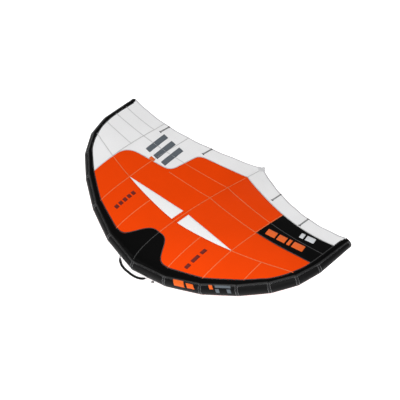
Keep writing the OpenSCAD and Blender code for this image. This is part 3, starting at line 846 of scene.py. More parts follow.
def seam_lines():
    """Plan line, sides, cloth and sideways shift of every sewn seam of the canopy"""
    lead_y = LEADING[0, 1]
    first, second, third = [straight(STRIP[int(np.argmax(STRIP[:, 0] > x))], (x, waist(x)))
                            for x in (INNER_X, SIDE_X[0], OUTER_X)]
    step_x = 0.549  # where the white step crosses the spanwise seams
    tip_x = TIP_LINE[-1, 0]
    half = SEAM_W / 2
    return [
        (straight((0, lead_y + 0.006), STRIP[0]), "middle", "black", 0),
        (straight(STRIP[0], (0, band(0))), "middle", "orange", 0),
        (straight((0, band(0)), (0, CHORD_MID - 0.004)), "middle", "white", 0),
        (first, "both", "orange", 0),
        (second, "both", "orange", 0),
        (third, "right", "orange", 0),
        (SIDE_LOW, "both", "orange", 0),
        (SIDE_HIGH, "right", "orange", -half),
        (straight((SIDE_X[1], 1.02), (SIDE_X[2], trailing_y(SIDE_X[2]) - 0.01)), "left", "white", 0),
        (curve(line_a, 0, SIDE_X[1]), "right", "orange", 0),
        (curve(line_a, SIDE_X[1], STRIP[AT_A, 0]), "right", "black", 0),
        (curve(line_a, 0, step_x), "left", "orange", 0),
        (curve(line_a, step_x, STRIP[AT_A, 0]), "left", "white", 0),
        (curve(line_b, 0, SIDE_X[1]), "right", "orange", 0),
        (curve(line_b, SIDE_X[1], STRIP[AT_B, 0]), "right", "black", -half),
        (curve(line_b, 0, step_x), "left", "orange", 0),
        (curve(line_b, tip_x, STRIP[AT_B, 0]), "left", "white", 0),
        (curve(waist, DART_LEN, STRIP[AT_WAIST, 0]), "right", "orange", 0),
        (curve(waist, DART_LEN, TIP_X), "left", "orange", 0),
        (curve(waist, TIP_X, STRIP[AT_WAIST, 0]), "left", "white", 0),
        (curve(band, tip_x, STRIP[AT_BAND, 0]), "left", "white", 0),
        (curve(band, 0, STRIP[AT_BAND, 0]), "right", "white", -half),
        (WHITE_STEP, "left", "white", -half),
        (TIP_LINE, "left", "white", 0),
        (STRIP[:-4], "both", "black", -half),
    ]


def make_seams():
    cloth = {"orange": ORANGE_SEAM, "white": WHITE_SEAM, "black": BLACK_SEAM}
    thread = {"orange": THREAD_ORANGE, "white": THREAD_WHITE, "black": THREAD_MID}
    ribbons, threads = {}, {}
    for line, sides, colour, shift in seam_lines():
        key = (colour, "right" if sides == "middle" else sides)
        strip = ribbons.setdefault(key, Skin())
        sewn = threads.setdefault(key, Skin())
        path, out = ribbon(strip, line, SEAM_W, 2.2 * CLOTH, shift)
        stitch(sewn, path, out, SEAM_W * 0.55, lift=0.0002)
    for group, materials, name in ((ribbons, cloth, "seam"), (threads, thread, "seam_thread")):
        for (colour, sides), skin in group.items():
            skin = skin.both() if sides == "both" else skin.on(sides)
            skin.piece(f"{name}_{colour}_{sides}", materials[colour], slot="canopy_" + colour)


def make_trailing_edge():
    """Folded hem and the patch on the canopy's rear point"""
    skin = Skin()
    line = curve(trailing_y, 0.0005, TE_X[-1])
    path, out = ribbon(skin, line, 0.018, 0.0026, shift=0.009)
    rim, rim_out = lay(line)
    side, up = frames(rim, rim_out)
    sweep(skin, rim, side, up, oval(0.004, 0.0036, 8))
    skin.both().piece("trailing_hem_fold", HEM, replaces=["trailing_hem"], slot="hem")
    sewn = Skin()
    stitch(sewn, path, out, 0.006, lift=0.0003)
    sewn.both().piece("trailing_hem_thread", THREAD_WHITE, slot="hem")
    corner = rounded([(0.0, CHORD_MID - 0.075, 0), (0.030, CHORD_MID - 0.060, 0.02),
                      (0.062, CHORD_MID - 0.030, 0.012), (0.021, CHORD_MID + 0.002, 0.006),
                      (0.021, CHORD_MID + 0.029, 0.018), (0.0, CHORD_MID + 0.030, 0)])
    patch = cut_cloth(np.concatenate([corner, (corner * (-1, 1))[::-1]]), 0.006)
    patch.piece("corner_patch", HEM, solid=0.0055, replaces=["te_corner_patch"], slot="patch")


def make_battens():
    """Pockets on the trailing edge, with the battens inside"""
    pockets, ends, battens, sewn = Skin(), Skin(), Skin(), Skin()
    for x in BATTEN_X:
        rear = trailing_y(x)
        front = rear - BATTEN_LEN
        path, out = ribbon(pockets, straight((x, front), (x, rear - 0.004)), 0.017, 0.0056)
        for edge in (-0.0065, 0.0065):
            stitch(sewn, path + (edge, 0, 0), out, 0.0015, lift=0.0006, pitch=0.005)
        ribbon(ends, straight((x - 0.016, front - 0.002), (x + 0.016, front - 0.002)), 0.012, 0.0066)
        ribbon(ends, straight((x - 0.013, rear - 0.010), (x + 0.013, rear - 0.010)), 0.014, 0.0066)
        ribbon(battens, straight((x, front + 0.008), (x, rear - 0.012)), 0.009, 0.0014)
    pockets.both().piece("batten_pocket_cloth", POCKET, replaces=["batten_pockets"], slot="pocket")
    ends.both().piece("batten_pocket_ends", POCKET_END, slot="pocket")
    sewn.both().piece("batten_pocket_thread", THREAD_DARK, slot="pocket")
    battens.both().piece("batten_strips", BATTEN, replaces=["battens"], slot="batten")


def slanted(x, y, width, height, lean=0.0):
    """Plan outline of a bar with slanted ends"""
    corners = [(x, y), (x + width, y), (x + width + lean, y + height), (x + lean, y + height), (x, y)]
    return straight(*corners)[:-1]


def make_marks():
    """Plain bars in the places of the printed marks"""
    bars = {
        ("grey", "left"): [slanted(0.640 + 0.125 * k, 1.060, 0.070, 0.330, 0.045) for k in range(3)],
        ("orange", "left"): [slanted(0.765, 0.989, 0.070, 0.050, 0.007)],
        ("orange", "right"): [slanted(x, 1.050, width, 0.086, -0.02)
                              for x, width in ((0.870, 0.125), (1.020, 0.105), (1.150, 0.040),
                                               (1.215, 0.140))],
        ("white", "right"): [slanted(x, 1.215, width, 0.075, -0.02)
                             for x, width in ((1.180, 0.050), (1.255, 0.110))],
        ("dark", "right"): [slanted(0.535, y, 0.045, height)
                            for y, height in ((0.215, 0.06), (0.305, 0.10), (0.435, 0.07))],
        ("dark", "left"): [slanted(0.555, 0.270 + 0.060 * k, 0.050, 0.042) for k in range(5)],
    }
    inks = {"grey": MARK_GREY, "orange": MARK_ORANGE, "white": MARK_WHITE, "dark": MARK_DARK}
    for (ink, side), outlines in bars.items():
        for k, outline in enumerate(outlines, 1):
            skin = cut_cloth(outline, lift=0.0009).on(side)
            skin.piece(f"mark_{ink}_{side}_{k}", inks[ink], solid=INK, slot="canopy_white")


# ---- the tube's pieces
def turns_round(count=TURNS):
    """Evenly spaced turns round a tube"""
    return -np.arange(count) * 360 / count


def sleeve_rings(tube, i, swell=0.0015, rows=26):
    """Rings of a segment, swollen by pressure, drawn in and puckered at its seams"""
    turns = turns_round()
    phase = np.radians(turns)
    rings = []
    for share in np.linspace(0, 1, rows):
        t = (1 - np.cos(np.pi * share)) / 2
        edge = min(t, 1 - t) * tube.length[i]
        pucker = 0.0009 * np.sin(phase * 19 + 1.5 * np.sin(phase * 3 + i)) * np.exp(-edge / 0.03)
        lift = swell * np.sin(np.pi * t) ** 0.7 + pucker * (1 - np.exp(-edge / 0.01))
        lift -= 0.0008 * np.exp(-edge / 0.006)
        rings.append(tube.at(i, np.full(TURNS, t), turns, lift[:, None])[0])
    return np.array(rings)


def band_rings(tube, joint, half, lift=0.0011):
    """Closed band round a joint, with its outer line of points on each side for the stitches"""
    turns = turns_round(TURNS * 2)
    profile = [(-half, -SUNK), (-half, lift * 0.6), (-half + 0.0008, lift), (-half / 3, lift + 0.0002),
               (half / 3, lift + 0.0002), (half - 0.0008, lift), (half, lift * 0.6), (half, -SUNK)]

    def ring(place, height):
        i = joint - 1 if place < 0 and joint > 0 else min(joint, len(tube.length) - 1)
        t = abs(place) / tube.length[i]
        t = 1 - t if i == joint - 1 else t
        return tube.at(i, np.full(len(turns), t), turns, height)

    rings = np.stack([ring(*p)[0] for p in profile], 1)
    rows = [ring(side * (half - 0.0045), lift) for side in (-1, 1)]
    return rings, rows


def close(points):
    return np.concatenate([points, points[:2]])


def add_band(skin, sewn, tube, joint, half=TAPE_W):
    rings, rows = band_rings(tube, joint, half)
    skin.grid(rings, wrap=True, loop=True)
    for path, out in rows:
        stitch(sewn, close(path), close(out), 0.005, pitch=0.006, lift=0.0002)


def tube_strip(skin, tube, i, profile, turn):
    """Strip along segment i; profile(t) is its outline of distances round the tube and lifts, and
    turn(t) its place"""
    rings = []
    for t in np.linspace(0, 1, 24):
        radius = mix(tube.radii[i], tube.radii[i + 1], t)
        arcs, lifts = np.array(profile(t)).T
        turns = turn(t) + np.degrees(arcs / radius)
        rings.append(tube.at(i, np.full(len(turns), t), turns, lifts[:, None])[0])
    skin.grid(np.array(rings), wrap=True, caps=True)


def tube_line(tube, i, turn, lift):
    t = np.linspace(0, 1, 60)
    return tube.at(i, t, np.array([turn(x) for x in t]), lift)


def flat_seam(half):
    """Outline of a flat sewn seam, as distances round the tube and lifts"""
    return [(-half, 0.0), (0.001 - half, 0.0010), (0.0, 0.0013), (half - 0.001, 0.0010), (half, 0.0),
            (0.0, -SUNK)]


def seam_turn(i):
    return lambda t: mix(*SEAM_TURN, (i + t) / JOINTS)


def make_tube():
    for side in ("left", "right"):
        for i in range(JOINTS):
            skin = Skin()
            skin.grid(sleeve_rings(TUBE, i), wrap=True)
            piece = skin.on(side).piece(f"sleeve_{side}_{i + 1}", SLEEVE, solid=SLEEVE_CLOTH,
                                        replaces=[f"le_panel_{side}_{i + 1}"], slot="sleeve")
            declare_cut(piece, TUBE.length[i])
        bands, sewn = Skin(), Skin()
        for joint in range(1, JOINTS):
            add_band(bands, sewn, TUBE, joint)
        bands.on(side).piece(f"sleeve_bands_{side}", BAND, replaces=[f"le_seam_tapes_{side}"],
                             slot="seam_tape")
        sewn.on(side).piece(f"sleeve_bands_thread_{side}", THREAD_GREY, slot="seam_tape")
        make_tip(side)
    make_centre_band()
    make_long_seams()


def make_centre_band():
    """The band over the V joint in the middle, made on one side and mirrored"""
    turns = turns_round(TURNS * 2)
    flat, sewn = Skin(), Skin()
    profile = [(0, 0.0013), (TAPE_W / 3, 0.0013), (TAPE_W - 0.0008, 0.0011), (TAPE_W, 0.0007),
               (TAPE_W, -SUNK), (0, -SUNK)]
    share = 1 / TUBE.length[0]
    rings = [TUBE.at(0, np.full(len(turns), place * share), turns, lift)[0] for place, lift in profile]
    flat.grid(np.stack(rings, 1)[::-1], wrap=True, loop=True)
    path, out = TUBE.at(0, np.full(len(turns), (TAPE_W - 0.0045) * share), turns, 0.0011)
    stitch(sewn, close(path), close(out), 0.005, pitch=0.006, lift=0.0002)
    flat.both().piece("sleeve_band_middle", BAND, replaces=["le_centre_tape"], slot="seam_tape")
    sewn.both().piece("sleeve_band_middle_thread", THREAD_GREY, slot="seam_tape")


def make_long_seams():
    """The sewn fold where the canopy meets the tube, and the sleeve's own seam under it"""
    fold, sewn, under, under_sewn = Skin(), Skin(), Skin(), Skin()
    for i in range(JOINTS):
        def fold_profile(t, i=i):
            rise = np.interp(i + t, KNOTS, SEAM_LIFT)
            top = [(-0.004, rise), (0.0, rise + 0.0012), (0.005, 0.6 * rise + 0.001), (0.012, 0.0016),
                   (0.020, 0.0012)]
            return top + [(0.021, 0.0), (0.010, -SUNK), (-0.003, -SUNK)]

        tube_strip(fold, TUBE, i, fold_profile, seam_turn(i))
        tube_strip(under, TUBE, i, lambda t: flat_seam(0.009), lambda t: UNDER_TURN)
        for arc in (0.0105, 0.0175):
            radius = TUBE.radii[i]
            path, out = tube_line(TUBE, i, lambda t, i=i: seam_turn(i)(t) + np.degrees(arc / radius), 0.0022)
            stitch(sewn, path, out, 0.0035, pitch=0.006, lift=0)
        path, out = tube_line(TUBE, i, lambda t: UNDER_TURN, 0.0013)
        stitch(under_sewn, path, out, 0.006, lift=0.0002)
    fold.both().piece("canopy_fold", BLACK_SEAM, slot="seam_tape")
    sewn.both().piece("canopy_fold_thread", THREAD_MID, slot="seam_tape")
    under.both().piece("sleeve_under_seam", BAND, slot="seam_tape")
    under_sewn.both().piece("sleeve_under_thread", THREAD_MID, slot="seam_tape")


def dome(skin, tube, i, t, depth, lift=0.0, rows=12):
    """Rounded end over the ring at t of segment i"""
    turns = turns_round()
    rim, _ = tube.at(i, np.full(TURNS, float(t)), turns, lift)
    centre = rim.mean(0)
    way = tube.dir[i] * (1 if t > 0.5 else -1)
    angles = np.radians(np.linspace(0, 88, rows))
    rings = np.array([centre + (rim - centre) * np.cos(a) ** 0.6 + way * depth * np.sin(a) for a in angles])
    skin.grid(rings if t > 0.5 else rings[::-1], wrap=True, caps=True)


def make_tip(side):
    """Rounded end of the tube, with the sewn rim that holds it"""
    cap, rim, sewn = Skin(), Skin(), Skin()
    last = JOINTS - 1
    dome(cap, TUBE, last, 1.0, 0.0105, 0.0006)
    cap.on(side).piece(f"tip_cap_{side}", SLEEVE, replaces=[f"le_tip_cap_{side}"], slot="patch")
    turns = turns_round()
    profile = [(0.024, -SUNK), (0.024, 0.0009), (0.023, 0.0013), (0.008, 0.0015), (0.001, 0.0016),
               (0.0, 0.0004), (0.002, -0.0008)]
    rings = [TUBE.at(last, np.full(TURNS, 1 - d / TUBE.length[last]), turns, lift)[0] for d, lift in profile]
    rim.grid(np.stack(rings, 1)[::-1], wrap=True, loop=True)
    rim.on(side).piece(f"tip_rim_{side}", BAND, slot="patch")
    for place in (0.006, 0.019):
        path, out = TUBE.at(last, np.full(TURNS, 1 - place / TUBE.length[last]), turns, 0.0015)
        stitch(sewn, close(path), close(out), 0.003, pitch=0.006, lift=0.0001)
    sewn.on(side).piece(f"tip_rim_thread_{side}", THREAD_GREY, slot="patch")


# ---- the strut under the centre line
def centre_height(y):
    return surface(np.stack([np.zeros_like(y), y], 1))


def strut_path():
    plain = [height_at(*locate(np.zeros(1), np.array([y])))[0] for y in STRUT_Y]
    share = (STRUT_Y - SEAM_LINE[0, 1]) / (CHORD_MID - SEAM_LINE[0, 1])
    rounding = power_sum(TE_RISE, CREASE / HALF_SPAN) * share
    return np.stack([np.zeros(5), STRUT_Y, np.array(plain) - rounding - STRUT_GAP - STRUT_R], 1)


STRUT_LINE = strut_path()
STRUT = Tube(STRUT_LINE, STRUT_R, unit(STRUT_LINE[1] - STRUT_LINE[0]))


def strut_under(y):
    """Lowest point of the strut at a distance back"""
    i = int(np.searchsorted(STRUT_Y, y, side="right")) - 1
    t = (y - STRUT_Y[i]) / (STRUT_Y[i + 1] - STRUT_Y[i])
    down = np.array([0, STRUT.dir[i][2], -STRUT.dir[i][1]])
    return mix(STRUT_LINE[i], STRUT_LINE[i + 1], t) + mix(STRUT_R[i], STRUT_R[i + 1], t) * down


def make_strut():
    for i in range(len(STRUT_Y) - 1):
        skin = Skin()
        skin.grid(sleeve_rings(STRUT, i, 0.001, 30), wrap=True)
        piece = skin.piece(f"strut_sleeve_{i + 1}", SLEEVE, solid=SLEEVE_CLOTH,
                           replaces=[f"strut_panel_{i + 1}"], slot="sleeve")
        declare_cut(piece, STRUT.length[i])
    bands, sewn, caps, long_seam, long_sewn = Skin(), Skin(), Skin(), Skin(), Skin()
    for joint in range(1, len(STRUT_Y) - 1):
        add_band(bands, sewn, STRUT, joint, 0.014)
    bands.piece("strut_bands", BAND, replaces=["strut_seam_tapes"], slot="seam_tape")
    sewn.piece("strut_bands_thread", THREAD_GREY, slot="seam_tape")
    dome(caps, STRUT, len(STRUT_Y) - 2, 1.0, 0.021, 0.0004)
    caps.piece("strut_end_cap", SLEEVE, replaces=["strut_rear_cap"], slot="patch")
    nose = Skin()
    dome(nose, STRUT, 0, 0.0, 0.052, 0.0003, 16)
    nose.piece("strut_nose", SLEEVE, slot="sleeve")
    for i in range(len(STRUT_Y) - 1):
        for turn in (-118, 118):
            tube_strip(long_seam, STRUT, i, lambda t: flat_seam(0.008), lambda t, turn=turn: turn)
            path, out = tube_line(STRUT, i, lambda t, turn=turn: turn, 0.0013)
            stitch(long_sewn, path, out, 0.006, lift=0.0002)
    long_seam.piece("strut_long_seams", BAND, slot="seam_tape")
    long_sewn.piece("strut_long_thread", THREAD_GREY, slot="seam_tape")


def make_web():
    """Cloth strip between strut and canopy, with a sewn flange at its top and bottom"""
    y = np.arange(0.165, 1.815, 0.015)
    slope = np.gradient(STRUT_Y) / np.linalg.norm(np.gradient(STRUT_LINE, axis=0), axis=1)
    bottom = np.interp(y, STRUT_Y, STRUT_LINE[:, 2] + STRUT_R / np.abs(slope)) + 0.0004
    bottom = np.minimum(bottom, centre_height(y) - 0.006)
    wide, thin = 0.013, 0.0007
    sag = wide * wide / (2 * np.interp(y, STRUT_Y, STRUT_R))
    profile = [(wide, 1, -0.0006), (thin, 1, -0.0020), (thin, 0, 0.0014), (wide, 0, 0.0005),
               (wide, 0, -0.0006), (-wide, 0, -0.0006), (-wide, 0, 0.0005), (-thin, 0, 0.0014),
               (-thin, 1, -0.0020), (-wide, 1, -0.0006), (-wide, 1, 0.0), (wide, 1, 0.0)]
    rings = []
    for x, at_top, lift in profile:
        x_all = np.full_like(y, x)
        level = bottom - sag * (abs(x) > thin)
        if at_top:
            level = surface(np.stack([x_all, y], 1)) - 0.0012
        rings.append(np.stack([x_all, y, level + lift], 1))
    skin = Skin()
    skin.grid(np.stack(rings, 1)[:, ::-1], wrap=True, caps=True)
    piece = skin.piece("strut_web_cloth", WHITE_SEAM, replaces=["strut_web"], slot="canopy_black")
    declare_cut(piece, y[-1] - y[0])


# ---- sewn patches and webbing feet
def patch_on(skin, tube, i, t0, turn0, half_long, half_round, lift=0.0012):
    """Oval patch on segment i, with its edge line for stitches"""
    radius = mix(tube.radii[i], tube.radii[i + 1], t0)
    a = -np.radians(np.arange(48) * 7.5)

    def ring(scale, height):
        t = t0 + scale * half_long * np.cos(a) / tube.length[i]
        turn = turn0 + np.degrees(scale * half_round * np.sin(a) / radius)
        return tube.at(i, t, turn, height)

    levels = [(0.05, -SUNK), (1.0, -SUNK), (1.0, lift * 0.5), (0.97, lift), (0.6, lift + 0.0002),
              (0.05, lift + 0.0003)]
    skin.grid(np.array([ring(*level)[0] for level in levels]), wrap=True, caps=True)
    path, out = ring(0.88, lift)
    return close(path), close(out)


def box_stitch(sewn, corner, u, v, out, inset=0.003):
    """Box with a cross inside, as straps are sewn down; u and v are its edges"""
    lu, lv = np.linalg.norm(u), np.linalg.norm(v)
    a = corner + unit(u) * inset + unit(v) * inset
    u, v = unit(u) * (lu - 2 * inset), unit(v) * (lv - 2 * inset)
    corners = [a, a + u, a + u + v, a + v, a, a + u + v, a + u, a + v]
    path = resample(corners, 0.002)
    stitch(sewn, path, np.tile(out, (len(path), 1)), 0.0012, pitch=0.004, radius=0.0004, lift=0.0)


def sew_foot(feet, sewn, tube, i, t, turn, reach, width):
    """Webbing sewn flat along segment i, reaching two distances before and after the place t"""
    a, normal = tube.at(i, t - reach[0] / tube.length[i], turn, 0.0020)
    b, _ = tube.at(i, t + reach[1] / tube.length[i], turn, 0.0020)
    line = resample([a, b], 0.004)
    side, up = frames(line, np.tile(normal, (len(line), 1)))
    sweep(feet, line, side, up, strap_section(width, 0.0024))
    box_stitch(sewn, a - side[0] * 0.010 + normal * 0.0012, b - a, side[0] * 0.020, normal)


# ---- strut handles
class Hang:
    """Frame of a strut handle: origin midway between its anchors, +Y to the rear anchor"""

    def __init__(self, y):
        ends = [strut_under(y + side * HANDLE_SPAN / 2) - (0, 0, ANCHOR_DROP) for side in (-1, 1)]
        self.middle = (ends[0] + ends[1]) / 2
        self.y = unit(ends[1] - ends[0])
        self.x = np.array([1.0, 0, 0])
        self.z = np.cross(self.x, self.y)

    def place(self, points):
        points = np.asarray(points, float)
        return self.middle + points @ np.array([self.x, self.y, self.z])


def make_handles():
    for y, name in zip(HANDLE_Y, ("front", "rear")):
        hang = Hang(y)
        make_grip(hang, name, f"{name}_handle")
        make_straps(hang, name, f"{name}_handle")


def make_grip(hang, name, body):
    foam_skin, collars = Skin(), Skin()
    half = GRIP_LEN / 2 - 0.010
    y = np.linspace(-half, half, 60)
    swell = 0.0148 + 0.0007 * np.cos(y / half * np.pi * 3) ** 2
    swell = swell * np.where(np.abs(y) > half - 0.003, 0.93, 1)
    path = hang.place(np.stack([0 * y, y, 0 * y - GRIP_DROP], 1))
    side, up = np.tile(hang.x, (len(y), 1)), np.tile(hang.z, (len(y), 1))
    section = oval(2, 1.9, 40)[None] * swell[:, None, None]
    sweep(foam_skin, path, side, up, section)
    grip = foam_skin.piece(f"{name}_foam", FOAM, body, replaces=[f"{name}_grip"], slot="foam_grip")
    for end in (-1, 1):
        s = np.array([-0.011, -0.0095, -0.004, 0.006, 0.0095, 0.011])
        r = np.array([0.0145, 0.0158, 0.0160, 0.0158, 0.0135, 0.0105])
        r = r if end > 0 else r[::-1]
        y = end * (GRIP_LEN / 2 - 0.011) + s
        ring = hang.place(np.stack([0 * y, y, 0 * y - GRIP_DROP], 1))
        sweep(collars, ring, side[:6], up[:6], oval(2, 1.9, 40)[None] * r[:, None, None])
    collars.piece(f"{name}_collars", RUBBER, body, slot="foam_grip")


def make_straps(hang, name, body):
    top = HANDLE_SPAN / 2 - 0.011
    line = rounded([(-top, -0.001, 0), (-top, -0.016, 0.012), (-GRIP_LEN / 2 - 0.007, -GRIP_DROP, 0.020),
                    (GRIP_LEN / 2 + 0.007, -GRIP_DROP, 0.020), (top, -0.016, 0.012), (top, -0.001, 0)])
    line = resample(line, 0.004)
    path = hang.place(np.column_stack([np.zeros(len(line)), line]))
    s = distances(path)
    edge = np.minimum(s, s[-1] - s)
    width = mix(0.0070, 0.024, ease((edge - 0.008) / 0.035))
    thick = mix(0.0052, 0.0028, ease((edge - 0.012) / 0.035))
    shape = strap_section(0.024, 0.0028)
    section = shape[None] * np.stack([width / 0.024, thick / 0.0028], 1)[:, None]
    ahead = unit(np.gradient(path, axis=0))
    side = np.tile(hang.x, (len(path), 1))
    strap, sewn = Skin(), Skin()
    up = unit(np.cross(side, ahead))
    sweep(strap, path, side, up, section)
    strap.piece(f"{name}_webbing", WEBBING, body, replaces=[f"{name}_straps"], slot="webbing")
    for k in (9, len(path) - 10):
        out = up[k]
        long = path[k + 4] - path[k - 4]
        wide = side[k] * 0.016
        for face in (-1, 1):
            corner = path[k - 4] - wide / 2 + out * face * thick[k] / 2
            box_stitch(sewn, corner, long, wide, out * face, 0.001)
    sewn.piece(f"{name}_webbing_thread", THREAD_GREY, body, slot="webbing")


def make_strut_patches():
    patches, feet, sewn = Skin(), Skin(), Skin()
    for y in HANDLE_Y:
        for end in (-1, 1):
            spot = y + end * (HANDLE_SPAN / 2 - 0.011)
            i = int(np.searchsorted(STRUT_Y, spot, side="right")) - 1
            t = (spot - STRUT_Y[i]) / (STRUT_Y[i + 1] - STRUT_Y[i])
            path, out = patch_on(patches, STRUT, i, t, 180, 0.031, 0.029)
            stitch(sewn, path, out, 0.003, pitch=0.005, lift=0.0)
            sew_foot(feet, sewn, STRUT, i, t, 180, (0.024, 0.024), 0.022)
    patches.piece("strut_handle_patches", PATCH, replaces=["strut_patches"], slot="patch")
    feet.piece("strut_handle_feet", WEBBING, slot="webbing")
    sewn.piece("strut_patches_thread", THREAD_GREY, slot="patch")


# ---- leading-edge handle and leash loop

def le_handle_line(s):
    a = np.abs(s)
    return np.stack([LE_HANDLE_HALF * s, mix(LE_HANDLE_MID[1], LE_HANDLE_END[1], a ** 2.8),
                     mix(LE_HANDLE_MID[2], LE_HANDLE_END[2], a ** 6)], 1)


def make_le_handle():
    body = "le_handle_body"
    pad, strap, sewn = Skin(), Skin(), Skin()
    s = np.linspace(-1, 1, 121)
    path = le_handle_line(s)
    out = np.tile([0.0, -0.35, -0.94], (len(s), 1))
    side, up = frames(path, out)
    edge = ease((1 - np.abs(s)) / 0.16)
    wide, thick = mix(0.006, 0.0205, edge), mix(0.0032, 0.0026, edge)
    sweep(strap, path, side, up, strap_section(1, 1)[None] * np.stack([wide, thick], 1)[:, None])
    strap.piece("le_handle_webbing", WEBBING, body, slot="webbing")
    inner = np.abs(s) < LE_HANDLE_PAD
    core = s[inner]
    soft = LE_HANDLE_R * (1 - 0.35 * ease((np.abs(core) / LE_HANDLE_PAD - 0.90) / 0.10))
    soft = soft * (1 + 0.03 * np.cos(core * 40) * np.cos(core * 7))
    section = oval(2.1, 1.75, 28)[None] * soft[:, None, None]
    sweep(pad, path[inner], side[inner], up[inner], section)
    handle = pad.piece("le_handle_padding", HANDLE_CLOTH, body, replaces=["le_handle"], slot="webbing")
    stitch(sewn, path[inner] - up[inner] * LE_HANDLE_R * 0.86, -up[inner], 0.004, pitch=0.006, lift=0)
    for where in (0.02 - LE_HANDLE_PAD, LE_HANDLE_PAD - 0.02):
        k = int(np.argmin(np.abs(s - where)))
        a = np.radians(np.arange(25) * 15)[:, None]
        ring = path[k] + LE_HANDLE_R * 0.78 * (1.05 * np.cos(a) * side[k] + 0.9 * np.sin(a) * up[k])
        stitch(sewn, close(ring), close(unit(ring - path[k])), 0.002, pitch=0.004, lift=0)
    sewn.piece("le_handle_thread", THREAD_GREY, body, slot="webbing")


def make_tube_patches():
    patches, feet, sewn, leash_patch, leash_sewn = Skin(), Skin(), Skin(), Skin(), Skin()
    path, out = patch_on(patches, TUBE, 0, LE_HANDLE_S, LE_HANDLE_TURN, 0.036, 0.029)
    stitch(sewn, path, out, 0.003, pitch=0.005, lift=0.0)
    sew_foot(feet, sewn, TUBE, 0, LE_HANDLE_S, LE_HANDLE_TURN, (0.030, 0.026), 0.021)
    path, out = patch_on(leash_patch, TUBE, 0, LEASH_S, LEASH_TILT, 0.018, 0.018)
    stitch(leash_sewn, path, out, 0.002, pitch=0.005, lift=0.0)
    base = patches.both()
    base.join(leash_patch)
    base.piece("handle_patches", PATCH, replaces=["tube_patches"], slot="patch")
    feet.both().piece("handle_feet", WEBBING, slot="webbing")
    sewn.both().piece("handle_patches_thread", THREAD_GREY, slot="patch")
    leash_sewn.piece("leash_patch_thread", THREAD_GREY, slot="patch")


def tube_frame(s, tilt):
    """Origin on the tube's surface in the first segment, with directions along, round and out"""
    radius = np.interp(s, [0, 1], TUBE.radii[:2])
    out = TUBE.outward(0, np.array(float(tilt)))
    along = TUBE.dir[0]
    return mix(TUBE.path[0], TUBE.path[1], s) + out * radius, along, np.cross(out, along), out


def make_leash():
    origin, along, across, out = tube_frame(LEASH_S, LEASH_TILT)
    radius, centre = 0.0098, origin + out * 0.021
    a = np.radians(np.linspace(-60, 240, 46))
    loop = centre + radius * (np.cos(a)[:, None] * along + np.sin(a)[:, None] * out)
    foot = [origin + out * 0.0056 + along * x for x in (0.0035, -0.0035)]
    path = np.concatenate([[foot[0], foot[0] + out * 0.003], loop, [foot[1] + out * 0.003, foot[1]]])
    path = resample(path, 0.0015)
    side = np.tile(across, (len(path), 1))
    up = unit(np.cross(side, unit(np.gradient(path, axis=0))))
    strap = Skin()
    sweep(strap, path, side, up, strap_section(0.0196, 0.0024))
    strap.piece("leash_webbing", WEBBING, "leash", replaces=["leash_loop"], slot="webbing")


# ---- inflation valve, on the left, made on the right and mirrored
def turned(skin, frame_of, profile, count=64, knurl=None):
    """Closed outline of radius and height pairs turned about the frame's outward direction"""
    origin, along, across, out = frame_of
    a = np.radians(np.arange(count) * 360 / count)
    rings = []
    for k in range(count):
        ray = np.cos(a[k]) * along + np.sin(a[k]) * across
        scale = 1 if knurl is None else knurl(a[k])
        rings.append([origin + ray * r * (scale if r > 0.018 else 1) + out * z for r, z in profile])
    skin.grid(np.array(rings)[::-1], wrap=True, loop=True)


def make_valve():
    spot = tube_frame(VALVE_S, -VALVE_TILT)
    flange, body, cap, strap = Skin(), Skin(), Skin(), Skin()
    a = -np.radians(np.arange(96) * 3.75)

    def ring(radius, lift):
        t = VALVE_S + radius * np.cos(a) / TUBE.length[0]
        turn = -VALVE_TILT + np.degrees(radius * np.sin(a) / TUBE_R_MID)
        return TUBE.at(0, t, turn, lift)[0]

    rows = [(0.0204, -0.0004), (0.034, -0.0004), (0.034, 0.0008), (0.0330, 0.0014), (0.0300, 0.0014),
            (0.0290, 0.0020), (0.0255, 0.0021), (0.0245, 0.0014), (0.0204, 0.0015)]
    flange.grid(np.array([ring(*row) for row in rows]), wrap=True, loop=True)
    flange.on("left").piece("valve_base_flange", VALVE, replaces=["valve_flange"], slot="valve_plastic")
    turned(body, spot, [(0.0110, -0.0015), (0.0200, -0.0015), (0.0200, 0.0030), (0.0188, 0.0036),
                        (0.0188, 0.0052), (0.0198, 0.0058), (0.0198, 0.0108), (0.0188, 0.0120),
                        (0.0122, 0.0120), (0.0110, 0.0110)])
    body.on("left").piece("valve_housing", VALVE, replaces=["valve_body"], slot="valve_plastic")

    def ribs(angle):
        return 1 - 0.018 * (0.5 + 0.5 * np.cos(36 * angle)) ** 2

    base = 0.0123
    turned(cap, spot, [(0.0002, base + 0.0004), (0.0120, base + 0.0004), (0.0188, base),
                       (0.0200, base + 0.0008), (0.0200, base + 0.0040), (0.0188, base + 0.0050),
                       (0.0150, base + 0.0050), (0.0138, base + 0.0040), (0.0002, base + 0.0038)], 180, ribs)
    turned(cap, spot, [(0.0002, base - 0.0040), (0.0090, base - 0.0040), (0.0102, base - 0.0030),
                       (0.0098, base + 0.0010), (0.0002, base + 0.0010)])
    origin, along, across, out = spot
    line = resample([origin + along * x + out * z for x, z in
                     ((0.0185, base + 0.0020), (0.0215, base + 0.0018), (0.0245, base + 0.0012))], 0.001)
    side, up = frames(line, np.tile(out, (len(line), 1)))
    sweep(strap, line, side, up, strap_section(0.010, 0.0020))
    pin = np.array([origin + along * 0.024 + across * y + out * (base + 0.0015)
                    for y in (-0.005, -0.0045, 0.0045, 0.005)])
    side, up = frames(pin, np.tile(out, (4, 1)))
    sweep(strap, pin, side, up, oval(0.003, 0.003, 16)[None] * np.array([0.7, 1, 1, 0.7])[:, None, None])
    cap.on("left").piece("valve_cap_lid", CAP, "cap", replaces=["valve_cap"], slot="valve_plastic")
    strap.on("left").piece("valve_cap_hinge", CAP, "cap", slot="valve_plastic")


